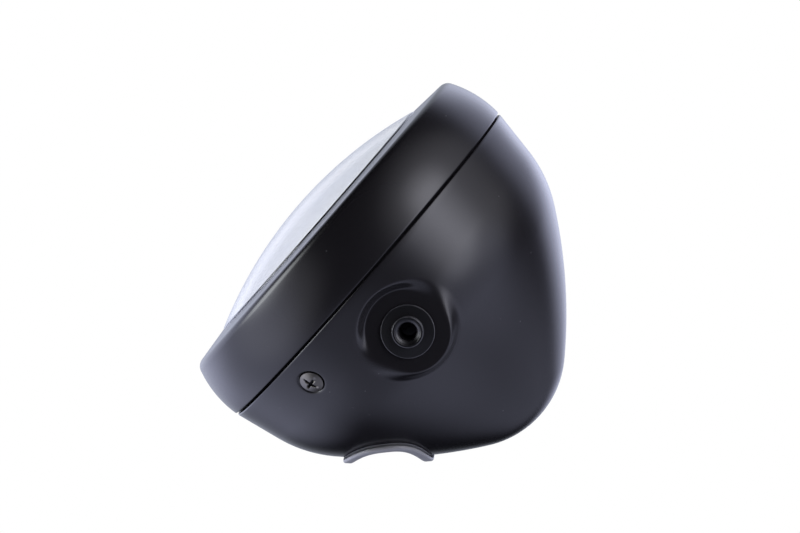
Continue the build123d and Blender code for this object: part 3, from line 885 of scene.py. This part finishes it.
# %% Edge trim
trim_cover = 2.9
trim_lip = 1.5
trim_nose = 1.6
trim_steps = 6
trim_lip_round = 0.9
trim_nose_round = 1.45
trim_mouth_round = 0.15
trim_slot_round = 0.1


def trim_section():
    """U section: first value away from the opening, second value out of the sheet."""
    top, bottom = trim_lip, -sheet_wall - trim_lip
    corners = [
        (trim_cover, 0, trim_mouth_round),
        (trim_cover, top, trim_lip_round),
        (-trim_nose, top, trim_nose_round),
        (-trim_nose, bottom, trim_nose_round),
        (trim_cover, bottom, trim_lip_round),
        (trim_cover, -sheet_wall, trim_mouth_round),
        (0, -sheet_wall, trim_slot_round),
        (0, 0, trim_slot_round),
    ]
    return np.array(round_corners(corners, trim_steps))


def sweep_round(path, across, out, section):
    """Points and faces of a closed section swept round a closed path."""
    points = path[:, None] + section[None, :, :1] * across[:, None] + section[None, :, 1:] * out[:, None]
    return points.reshape(-1, 3), grid_faces(len(path), len(section), True)


def trim_frames():
    """Path of the opening's edge, with the directions away from the opening and out of the sheet."""
    out = normals_of(shell_skin, flat_of(opening_loop))
    along = np.roll(opening_loop, -1, axis=0) - np.roll(opening_loop, 1, axis=0)
    away = unit(np.cross(out, along))
    middle = opening_loop.mean(axis=0)
    away *= np.sign(((opening_loop - middle) * away).sum(axis=1))[:, None]
    return opening_loop, away, out


trim_points, trim_faces = sweep_round(*trim_frames(), trim_section())
trim = make_piece("edge_trim", trim_points, trim_faces, sharp=50)
dress(trim, "trim_rubber", "wire_trim")

# %% [markdown]
# ## Side bushes
# Each bush is turned from bar: a flat flange on the pad, a raised collar with a stepped sink, and a
# thread through the middle. The Screw modifier makes threads too, but they would have to be joined to the
# bore. Here the thread is a ripple on the bore itself, which climbs one pitch in each turn and fades at
# both ends.

# %% Side bushes
bush_flange_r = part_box("side_bush_left")[1].y / MM
bush_flange_wall = 1.2
bush_collar_r = 6.6
bush_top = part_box("side_bush_left")[1].x / MM - pad_x
bush_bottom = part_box("side_bush_left")[0].x / MM - pad_x
bush_chamfer = 0.3
bush_sink_r = 5.6
bush_spigot_r = 7.0
thread_r = 3.4
thread_depth = 0.45
thread_pitch = 1.25
thread_rows = 130
bush_columns = 120
thread_root_r = thread_r + thread_depth
sink_depth = 2.2
sink_step = 0.45
bore_top = bush_top - sink_depth


def bush_section():
    """Turned section of a bush, from (radius, height over the pad, rounding) corners."""
    corners = [
        (bush_spigot_r, bush_bottom, 0.4),
        (bush_spigot_r, 0, 0),
        (bush_flange_r - bush_chamfer, 0, 0.1),
        (bush_flange_r, bush_chamfer, 0.1),
        (bush_flange_r, bush_flange_wall, 0.3),
        (bush_collar_r, bush_flange_wall, 0.25),
        (bush_collar_r, bush_top - bush_chamfer, 0.15),
        (bush_collar_r - bush_chamfer, bush_top, 0.15),
        (bush_sink_r, bush_top, 0.12),
        (bush_sink_r - sink_step, bush_top - sink_step, 0.1),
        (bush_sink_r - sink_step, bush_top - 2 * sink_step, 0.1),
        (bush_sink_r - 3 * sink_step, bush_top - 3 * sink_step, 0.1),
        (bush_sink_r - 3 * sink_step, bush_top - 4 * sink_step, 0.1),
    ]
    bore = [(thread_root_r, h) for h in np.linspace(bore_top, bush_bottom, thread_rows)]
    return round_corners(corners, 5) + bore


def thread(radius, height, angle):
    """Raise the ridge of a thread in the bore of a turned piece."""
    turn = (height / thread_pitch - angle / (2 * np.pi)) % 1
    ridge = 1 - abs(2 * turn - 1)
    fade = smoothstep(height, bush_bottom, bush_bottom + thread_pitch)
    fade = fade * smoothstep(bore_top - height, thread_pitch, 3 * thread_pitch)
    return radius - np.where(radius <= thread_root_r, thread_depth * ridge * fade, 0)


bush_points, bush_faces = lathe(bush_section(), bush_columns, thread)
for side, name in ((1, "left"), (-1, "right")):
    spot = placed(bush_points, (side * pad_x, 0, 0), (0, 1, 0), (side, 0, 0))
    bush = make_piece(f"bush_{name}", spot, bush_faces, sharp=40)
    dress(bush, "bush_steel", f"side_bush_{name}")

# %% [markdown]
# ## Rim screws
# The two raised countersunk screws are alike, so one is made and copied. Its cross recess could be cut
# with a Boolean, but as a form it keeps clean faces: its walls are steep, and its floor rises towards the
# tips of the wings.

# %% One screw
screw_head_r = 5.1
screw_seat_z = screw_head_r - dimple_r
screw_edge = 0.7
screw_edge_z = screw_seat_z + screw_edge
screw_rise = 1.4
screw_shank_r = 2.5
screw_length = 15.0
screw_rim = 0.25
tip_taper = 0.7
tip_share = 0.7
cross_length = 5.2
cross_width = 1.2
cross_depth = 1.6
cross_wall = 0.16
cross_turn = math.radians(6.0)
floor_rise = 0.5
wing_lines = (0, 0.22, 1.0, 1.5, 2.0)
head_points = 48
head_rings = (4.15, 4.4, 4.65, 4.85, 5.0)
dome_r = (screw_head_r**2 + screw_rise**2) / (2 * screw_rise)


def recess_share(flat):
    """Share of the recess at flat points: 0 on the head, 1 on the floor of the cross."""
    x, y = abs(flat[:, 0]), abs(flat[:, 1])
    bar = np.maximum(x - cross_length / 2, y - cross_width / 2)
    other = np.maximum(y - cross_length / 2, x - cross_width / 2)
    return np.clip(-np.minimum(bar, other) / cross_wall, 0, 1)


def screw_top(flat):
    """Domed head with its cross recess."""
    spread = np.hypot(flat[:, 0], flat[:, 1])
    crown = screw_edge_z + screw_rise - dome_r + np.sqrt(dome_r**2 - np.minimum(spread, screw_head_r) ** 2)
    depth = cross_depth * (1 - floor_rise * (2 * spread / cross_length) ** 2)
    return np.stack([flat[:, 0], flat[:, 1], crown - recess_share(flat) * np.maximum(depth, 0)], axis=1)


def screw_under(flat):
    """Countersunk underside and shank; zones of the flat disc become tip, shank, cone and edge."""
    spread = np.hypot(flat[:, 0], flat[:, 1])
    zones = np.array([0, 0.2, 0.25, 0.8, 0.95, 1.0]) * screw_head_r
    neck_z = screw_seat_z - (screw_head_r - screw_shank_r)
    tip_z = screw_edge_z + screw_rise - screw_length
    radii = [0, screw_shank_r * tip_share, screw_shank_r, screw_shank_r, screw_head_r, screw_head_r]
    heights = [tip_z, tip_z, tip_z + tip_taper, neck_z, screw_seat_z, screw_edge_z - screw_rim]
    radius = np.interp(spread, zones, radii)
    height = np.interp(spread, zones, heights)
    return np.stack([*(flat * (radius / np.maximum(spread, 1e-9))[:, None]).T, height], axis=1)


def screw_pattern():
    """Flat points of the head: a grid that follows the recess, and rings round it."""
    half = [*wing_lines]
    for size in (cross_width, cross_length):
        half += [size / 2 - cross_wall, size / 2]
    lines = np.array(sorted({*half, *[-h for h in half]}))
    grid = np.stack(np.meshgrid(lines, lines), axis=-1).reshape(-1, 2)
    rings = [circle_loop(radius, head_points) for radius in head_rings]
    return [circle_loop(screw_head_r, head_points)], np.vstack([grid, *rings])


screw_shape = wrap_sheet(*screw_pattern(), screw_top, screw_under)
screw_mesh = make_piece("screw_pattern", *screw_shape)
# The recess share is kept on the points, so that the finish paints shade into the recess.
recess = recess_share(screw_shape[0][:, :2])
underside = len(recess) // 2
recess[underside:] = 0
screw_mesh.data.attributes.new("recess", "FLOAT", "POINT").data.foreach_set("value", recess)
print("one screw has", len(screw_mesh.data.polygons), "faces")

# %% [markdown]
# Things that repeat come from geometry nodes. Each tree is built here, gets its values through named
# inputs, makes its copies real and gives them their material. Trees can stay live on an object, but a
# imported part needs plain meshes, so the result is kept and the modifier goes.


# %% Node tree helpers
def new_tree(name, inputs):
    """Geometry node tree with some inputs; returns their sockets and the identifiers for a modifier."""
    tree = bpy.data.node_groups.new(name, "GeometryNodeTree")
    tree.interface.new_socket("Geometry", in_out="OUTPUT", socket_type="NodeSocketGeometry")
    ids = {}
    for key, kind in {"Geometry": "Geometry", **inputs, "Material": "Material"}.items():
        ids[key] = tree.interface.new_socket(key, in_out="INPUT", socket_type=f"NodeSocket{kind}").identifier
    into = tree.nodes.new("NodeGroupInput")
    return {key: Sock(tree, into.outputs[key]) for key in ids}, ids


def end_tree(geometry, material):
    """Close a geometry node tree: real copies, with their material."""
    tree = geometry.tree
    real = geometry.node("GeometryNodeRealizeInstances", None, {"Geometry": geometry})
    done = geometry.node("GeometryNodeSetMaterial", None, {"Geometry": real, "Material": material})
    tree.links.new(done.socket, tree.nodes.new("NodeGroupOutput").inputs[0])
    return tree


def plain_mesh(carrier, tree, values):
    """Run a node tree on an object and keep the result as its plain mesh."""
    modifier = carrier.modifiers.new("nodes", "NODES")
    modifier.node_group = tree
    for key, value in values.items():
        modifier[key] = value
    seen = carrier.evaluated_get(bpy.context.evaluated_depsgraph_get())
    result = bpy.data.meshes.new_from_object(seen)
    result.name = carrier.name
    carrier.modifiers.clear()
    carrier.data = result


# %% [markdown]
# Copies of the screw could be placed one by one. Points tell more about the seats: each seat is a point
# with its turn as an attribute, and the tree sets a screw on each of them.


# %% Screws on their seats
def seats_tree():
    """Copies of a fastener on points, each turned as its seat says."""
    source, ids = new_tree("fasteners_on_seats", {"Object": "Object"})
    seats = source["Geometry"]
    fastener = seats.node("GeometryNodeObjectInfo", None, {"Object": source["Object"]}, out="Geometry")
    turn = seats.node("GeometryNodeInputNamedAttribute", {"data_type": "QUATERNION"}, {"Name": "seat_turn"})
    values = {"Points": seats, "Instance": fastener, "Rotation": turn}
    copies = seats.node("GeometryNodeInstanceOnPoints", None, values)
    return end_tree(copies, source["Material"]), ids


def screw_seats():
    """Object with one point on each screw seat, and its turn as an attribute."""
    mesh = bpy.data.meshes.new("rim_screw_heads")
    turns = []
    spots = []
    for clock in screw_clocks:
        place, out, along = screw_axes(clock)
        x = along * math.cos(cross_turn) + np.cross(out, along) * math.sin(cross_turn)
        axes = Matrix((x, np.cross(out, x), out)).transposed()
        turns += list(axes.to_quaternion())
        spots.append(place * MM)
    mesh.from_pydata(spots, [], [])
    mesh.attributes.new("seat_turn", "QUATERNION", "POINT").data.foreach_set("value", turns)
    seats = bpy.data.objects.new("rim_screw_heads", mesh)
    bpy.context.scene.collection.objects.link(seats)
    return seats


seat_tree, seat_ids = seats_tree()
screws = screw_seats()
plain_mesh(screws, seat_tree, {seat_ids["Object"]: screw_mesh, seat_ids["Material"]: finishes["screw_steel"]})
bpy.data.objects.remove(screw_mesh)
dress(screws, "screw_steel", "rim_screws")

# %% [markdown]
# ## Lens
# The lens is a plain clear glass: a low dome that stands on a flange. A scaled sphere could give the
# dome, but the glass needs a wall, so the whole lens is turned from one section. The dome stays smooth on
# both faces, because the reflector behind it spreads the beam.

# %% Lens
lens_dome_r = 193.0
lens_wall = 3.0
lens_clearance = 0.4
lens_edge_round = 1.0
lens_flange_wall = 3.0
lens_flange_round = 0.6
lens_fillet = 0.3
dome_steps = 40
lens_columns = 300
lens_front_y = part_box("lens")[0].y / MM
lens_rear_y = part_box("lens")[1].y / MM
lens_flange_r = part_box("lens")[1].x / MM
lens_edge_r = lens_opening_r - lens_clearance
lens_inner_r = lens_edge_r - lens_wall


def lens_y(r, inset=0.0):
    """Station of the dome at a radius."""
    return lens_front_y + lens_dome_r - math.sqrt((lens_dome_r - inset) ** 2 - r**2)


def lens_section():
    """Section of the lens from the tip of its dome, round its flange, to the middle of its inner face."""
    flange_front_y = lens_rear_y - lens_flange_wall
    dome = [(r, lens_y(r), 0) for r in np.linspace(0, lens_edge_r, dome_steps)]
    hollow = [(r, lens_y(r, lens_wall), 0) for r in np.linspace(lens_inner_r, 0, dome_steps)]
    rim = [
        (lens_edge_r, lens_y(lens_edge_r), lens_edge_round),
        (lens_edge_r, flange_front_y, lens_fillet),
        (lens_flange_r, flange_front_y, lens_flange_round),
        (lens_flange_r, lens_rear_y, lens_flange_round),
        (lens_inner_r, lens_rear_y, lens_fillet),
    ]
    return round_corners(dome[:-1] + rim + hollow)


lens_points, lens_faces = lathe(lens_section(), lens_columns)
lens = make_piece("lens_dome", on_axis(lens_points), lens_faces, sharp=40)
dress(lens, "lens_glass", "lens")

# %% [markdown]
# ## Reflector
# The reflector is a pressed paraboloid with a mirror coat. A seat for the bulb is drawn out at its
# middle, and a hole below is for the pilot bulb. A lathe can't leave that hole, so its flat pattern is
# wrapped like the shell's.

# %% Reflector sheet
reflector_focus = 22.0
reflector_mouth_r = 61.0
reflector_wall = 1.0
seat_hole_r = 19.1
seat_flange_r = 24.0
light_centre = 28.0
pilot_drop = 40.0
pilot_r = 7.5
pilot_clear = 1.5
pilot_points = 60
seat_steps = 60
wall_steps = 120
mirror_steps = 700
flange_steps = 120
mirror_points = 240
mirror_row_step = 11
pattern_hub = 12.0
bowl_vertex_y = lens_rear_y + reflector_mouth_r**2 / (4 * reflector_focus)
seat_y = bowl_vertex_y - reflector_focus + light_centre


def mirror_y(r):
    """Station of the paraboloid at a radius."""
    return bowl_vertex_y - r * r / (4 * reflector_focus)


def reflector_section(back):
    """Section of one face of the reflector, from the bulb seat to the flange under the lens."""
    shift = back * reflector_wall
    hole = (seat_hole_r + shift, seat_y - shift)
    curve = [(r, mirror_y(r) + shift) for r in np.linspace(hole[0], reflector_mouth_r, mirror_steps)]
    flange_y = lens_rear_y + shift
    section = straight((seat_flange_r, hole[1]), hole, seat_steps)
    section += straight(hole, curve[0], wall_steps) + curve
    section += straight((reflector_mouth_r, flange_y), (lens_flange_r, flange_y), flange_steps)
    return np.array(section)


mirror_section, rear_section = reflector_section(0), reflector_section(1)
mirror_reach = pattern_hub + run_along(mirror_section)


def mirror_form(section):
    """Form of one face of the reflector, for its flat pattern."""
    return lambda flat: turned(flat, mirror_reach, section)


def reflector_pattern():
    """Flat loops and points of the reflector."""
    points = np.vstack([circle_loop(d, mirror_points) for d in mirror_reach[1:-1:mirror_row_step]])
    ring = circle_loop(pilot_r, pilot_points)
    ring[:, 1] -= pilot_drop
    bowl = slice(seat_steps + wall_steps, -flange_steps)
    distance = np.interp(np.hypot(ring[:, 0], ring[:, 1]), mirror_section[bowl, 0], mirror_reach[bowl])
    pilot = polar(distance, np.arctan2(ring[:, 1], ring[:, 0]))
    points = points[~inside(points, set_out(pilot, pilot_clear))]
    edges = [circle_loop(distance, mirror_points) for distance in (mirror_reach[-1], pattern_hub)]
    return [*edges, pilot], points


mirror_loops, mirror_flat = reflector_pattern()
mirror_mesh = wrap_sheet(mirror_loops, mirror_flat, mirror_form(rear_section), mirror_form(mirror_section))
reflector = make_piece("reflector_bowl", *mirror_mesh)
print("points of the reflector:", len(mirror_mesh[0]))

# %% [markdown]
# Upright ribs on the mirror spread the beam sideways. They repeat at one pitch, so they aren't drawn: an
# attribute marks how far each point may rise, and a geometry node tree raises the ribs by the place
# across the lamp.

# %% Reflector ribs
rib_pitch = 7.6
rib_depth = 0.55
rib_fade = 4.0
rib_margin = 1.0
pilot_margin = 0.5


def ribs_tree():
    """Raise upright ribs, towards the front, on the points that an attribute marks."""
    source, ids = new_tree("reflector_ribs", {"Pitch": "Float", "Depth": "Float"})
    root = source["Geometry"]
    place = root.node("GeometryNodeInputPosition")
    across = root.node("ShaderNodeSeparateXYZ", None, {0: place}, out="X")
    share = root.maths("FRACT", root.maths("DIVIDE", across, source["Pitch"]) + 0.5) * 2 - 1
    marked = root.node("GeometryNodeInputNamedAttribute", {"data_type": "FLOAT"}, {"Name": "mirror_face"})
    rise = (share * share - 1) * source["Depth"] * marked
    offset = root.node("ShaderNodeCombineXYZ", None, {"Y": rise})
    raised = root.node("GeometryNodeSetPosition", None, {"Geometry": root, "Offset": offset})
    return end_tree(raised, source["Material"]), ids


def mirror_marks(points):
    """Share of the full rib at each point: none on the back, at the seat, the mouth or the pilot hole."""
    r = np.hypot(points[:, 0], points[:, 2])
    front = np.arange(len(points)) >= len(points) // 2
    from_pilot = np.hypot(points[:, 0], points[:, 2] + pilot_drop)
    marks = front * 1.0
    for distance, start in (
        (r, seat_hole_r + rib_margin),
        (reflector_mouth_r - r, rib_margin),
        (from_pilot, pilot_r + pilot_margin),
    ):
        marks *= smoothstep(distance, start, start + rib_fade)
    return marks


marks = mirror_marks(mirror_mesh[0])
reflector.data.attributes.new("mirror_face", "FLOAT", "POINT").data.foreach_set("value", marks)
rib_tree, rib_ids = ribs_tree()
rib_values = {"Pitch": rib_pitch * MM, "Depth": rib_depth * MM, "Material": finishes["reflector_mirror"]}
plain_mesh(reflector, rib_tree, {rib_ids[name]: value for name, value in rib_values.items()})
dress(reflector, "reflector_mirror", "reflector")

# %% [markdown]
# A collar behind the mirror holds the pilot bulb. It is a short tube whose front follows the paraboloid,
# so each of its points is moved there, and no cut is needed.

# %% Pilot collar
pilot_collar_wall = 1.0
pilot_collar_length = 12.9
pilot_rear_y = mirror_y(pilot_drop) + pilot_collar_length


def pilot_collar():
    """Short tube behind the reflector, whose front follows its curve."""
    outer_r = pilot_r + pilot_collar_wall
    points, faces = lathe([(pilot_r, 0), (outer_r, 0), (outer_r, 1), (pilot_r, 1)], pilot_points)
    points = on_axis(points, pilot_drop)
    start = mirror_y(np.hypot(points[:, 0], points[:, 2])) + reflector_wall / 2
    points[:, 1] = start + (pilot_rear_y - start) * points[:, 1]
    return points, faces


collar = make_piece("pilot_collar", *pilot_collar())
dress(collar, "reflector_mirror", "reflector")

# %% [markdown]
# ## Bulb
# The bulb and the small side-light bulb below it show through the lens. Both are blown tubes with a round
# front and a thin wall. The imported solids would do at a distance, but their facets show in glass, so both
# are turned smooth by one function.

# %% Bulb glass
bulb_reach = 50.0
bulb_glass_r = 8.5
bulb_glass_wall = 1.2
bulb_behind_seat = 1.2
pilot_glass_wall = 0.8
glass_steps = 20
glass_columns = 96
bulb_rear_y = seat_y + bulb_behind_seat


def tube_glass(radius, wall, tip_y, rear_y):
    """Round-ended glass tube, closed at the front."""
    dome_y = tip_y + radius
    outer = arc((0, dome_y), radius, -math.pi / 2, 0, glass_steps)
    inner = arc((0, dome_y), radius - wall, 0, -math.pi / 2, glass_steps)
    ends = [(radius, rear_y), (radius - wall, rear_y)]
    chain = [(0, tip_y), *outer[1:], *ends, *inner[:-1], (0, tip_y + wall)]
    return lathe(chain, glass_columns)


glass_points, glass_faces = tube_glass(bulb_glass_r, bulb_glass_wall, seat_y - bulb_reach, bulb_rear_y)
bulb = make_piece("bulb_tube", on_axis(glass_points), glass_faces)
dress(bulb, "bulb_glass", "bulb_glass")
pilot_low, pilot_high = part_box("pilot_bulb")
pilot_glass_r = pilot_high.x / MM
tube_points, tube_faces = tube_glass(pilot_glass_r, pilot_glass_wall, pilot_low.y / MM, pilot_high.y / MM)
pilot = make_piece("pilot_tube", on_axis(tube_points, pilot_drop), tube_faces)
dress(pilot, "bulb_glass", "pilot_bulb")

# %% [markdown]
# ## Camera
# The photograph looks at the lamp's left side from about a metre away, and is turned so that the lens
# points up and to the left. The lamp stays in its own frame, and the camera is placed and rolled instead.
# A Track To constraint could aim it, but the roll and the directions of the picture are needed again for
# the lights.

# %% Camera
camera_spot = (1025.45, -66.52, 130.45)
camera_aim = (0.0, -16.29, 8.55)
camera_roll = math.radians(41.418)
camera_lens = 102.97
sensor_width = 36.0
camera_data = bpy.data.cameras.new("camera")
camera_data.lens = camera_lens
camera_data.sensor_width = sensor_width
camera = bpy.data.objects.new("camera", camera_data)
bpy.context.scene.collection.objects.link(camera)
camera.location = Vector(camera_spot) * MM
look = (Vector(camera_aim) - Vector(camera_spot)).normalized()
upright = look.to_track_quat("-Z", "Y").to_matrix()
level, plumb = upright.col[0].copy(), upright.col[1].copy()
right = level * math.cos(camera_roll) + plumb * math.sin(camera_roll)
up = plumb * math.cos(camera_roll) - level * math.sin(camera_roll)
matrix = upright.to_4x4()
for i in range(3):
    matrix[i][0], matrix[i][1], matrix[i][2] = right[i], up[i], -look[i]
matrix.translation = camera.location
camera.matrix_world = matrix
bpy.context.scene.camera = camera
bpy.context.scene.view_settings.view_transform = "Standard"
print("camera stands", round((Vector(camera_aim) - Vector(camera_spot)).length), "mm away")

# %% [markdown]
# ## Studio
# The lamp is lit as in the photograph: soft boxes stand round it in a dim room, before a white ground.
# Area lights could stand for the boxes, but shiny black would mirror their hard edges. Here each box is a
# soft patch of the surround, placed by its angle from the camera and by its clock angle in the picture,
# counted from the right. It fades out between two angles and has a level and a tint. The camera sees
# white all round, also through the glass. Shiny faces also meet a pale grey backdrop behind the lamp.

# %% Studio
cool = (0.72, 0.75, 1.0)
pale = (0.9, 0.9, 1.0)
daylight = (0.94, 0.98, 1.0)
soft_boxes = {
    "strip, upper end": (55, 47, 6, 20, 1.7, pale),
    "strip, middle": (55, 33, 6, 20, 2.0, pale),
    "strip, lower end": (50, 10, 6, 18, 1.6, pale),
    "strip, spill": (62, 40, 15, 48, 0.9, pale),
    "window": (82, 171, 6, 25, 6.8, daylight),
    "left": (98, 212, 22, 60, 1.5, cool),
    "front left": (63, 200, 15, 42, 0.8, pale),
    "front low": (66, 285, 18, 48, 0.6, cool),
    "front right": (65, -8, 12, 38, 0.9, cool),
    "low right": (100, 320, 15, 45, 0.55, cool),
    "rear right": (137, 48, 12, 36, 1.2, cool),
    "rear low right": (151, 0, 8, 26, 1.1, cool),
    "rear left": (138, 180, 12, 40, 0.8, cool),
}
backdrop_patch = (160, 120, 20, 52)
backdrop_tint = (0.62, 0.66, 0.78)


def patch(root, angle, clock, core, edge):
    """Soft round mask in the surround: 1 within the core angle of its middle, 0 beyond the edge angle."""
    lean, turn = math.radians(angle), math.radians(clock)
    aside = right * math.sin(lean) * math.cos(turn) + up * math.sin(lean) * math.sin(turn)
    toward = aside - look * math.cos(lean)
    way = root.node("ShaderNodeTexCoord", out="Generated")
    facing = vectors(root, "DOT_PRODUCT", way, tuple(toward), out="Value")
    limits = {"From Min": math.cos(math.radians(edge)), "From Max": math.cos(math.radians(core))}
    return root.node("ShaderNodeMapRange", {"interpolation_type": "SMOOTHSTEP"}, {"Value": facing, **limits})


def studio_world():
    """World of soft boxes, with the backdrop for shiny faces and the white for the camera and the glass."""
    world = bpy.data.worlds.new("studio")
    world.use_nodes = True
    root = Sock(world.node_tree)
    light = (0.0, 0.0, 0.0)
    for angle, clock, core, edge, level, tint in soft_boxes.values():
        colour = tuple(level * c for c in tint)
        light = vectors(root, "MULTIPLY_ADD", colour, patch(root, angle, clock, core, edge), light)
    kinds = ("Camera", "Glossy", "Transmission")
    rays = {kind: root.node("ShaderNodeLightPath", out=f"Is {kind} Ray") for kind in kinds}
    backdrop = rays["Glossy"] * patch(root, *backdrop_patch)
    light = vectors(root, "MULTIPLY_ADD", backdrop_tint, backdrop, light)
    shown = colour_mix(root, rays["Camera"] + rays["Transmission"], light, white)
    root.tree.links.new(shown.socket, world.node_tree.nodes["Background"].inputs["Color"])
    return world


bpy.context.scene.world = studio_world()
print("soft boxes:", ", ".join(soft_boxes))

# %% [markdown]
# The floor is pale and lies well below the lamp. A shadow catcher would need a second picture under it,
# so this floor does the work itself. Under the lamp it is a matt surface that takes the shadow, and
# further out it fades to the white of the surround. From below it is clear.

# %% Floor
floor_z = -0.5
floor_half = 8.0
fade_band = (0.2, 0.7)
floor_tone = (0.9, 0.9, 0.9)
floor_glow = (0.25, 0.25, 0.25)
no_tone = (0, 0, 0)


def floor_finish():
    """Matt floor that turns to even white further out, and is clear from below."""
    constants = {"Specular_IOR_Level": 0.0, "Roughness": 1.0, "Emission_Strength": 1.0}
    root, shader = new_finish("studio_floor", **constants)
    fade = ramp(root, distance_off(root, (1, 1, 0)), *fade_band)
    feed(shader, "Base Color", colour_mix(root, fade, floor_tone, no_tone))
    feed(shader, "Emission Color", colour_mix(root, fade, floor_glow, white))
    feed(shader, "Alpha", 1 - root.node("ShaderNodeNewGeometry", out="Backfacing"))


floor_finish()
corners = [(x * floor_half, y * floor_half, floor_z) for x, y in ((-1, -1), (1, -1), (1, 1), (-1, 1))]
floor_mesh = bpy.data.meshes.new("floor")
floor_mesh.from_pydata(corners, [], [(0, 1, 2, 3)])
floor_mesh.materials.append(finishes["studio_floor"])
floor = bpy.data.objects.new("floor", floor_mesh)
bpy.context.scene.collection.objects.link(floor)
floor.visible_diffuse = floor.visible_glossy = floor.visible_transmission = False
print("floor lies at", floor_z, "m")
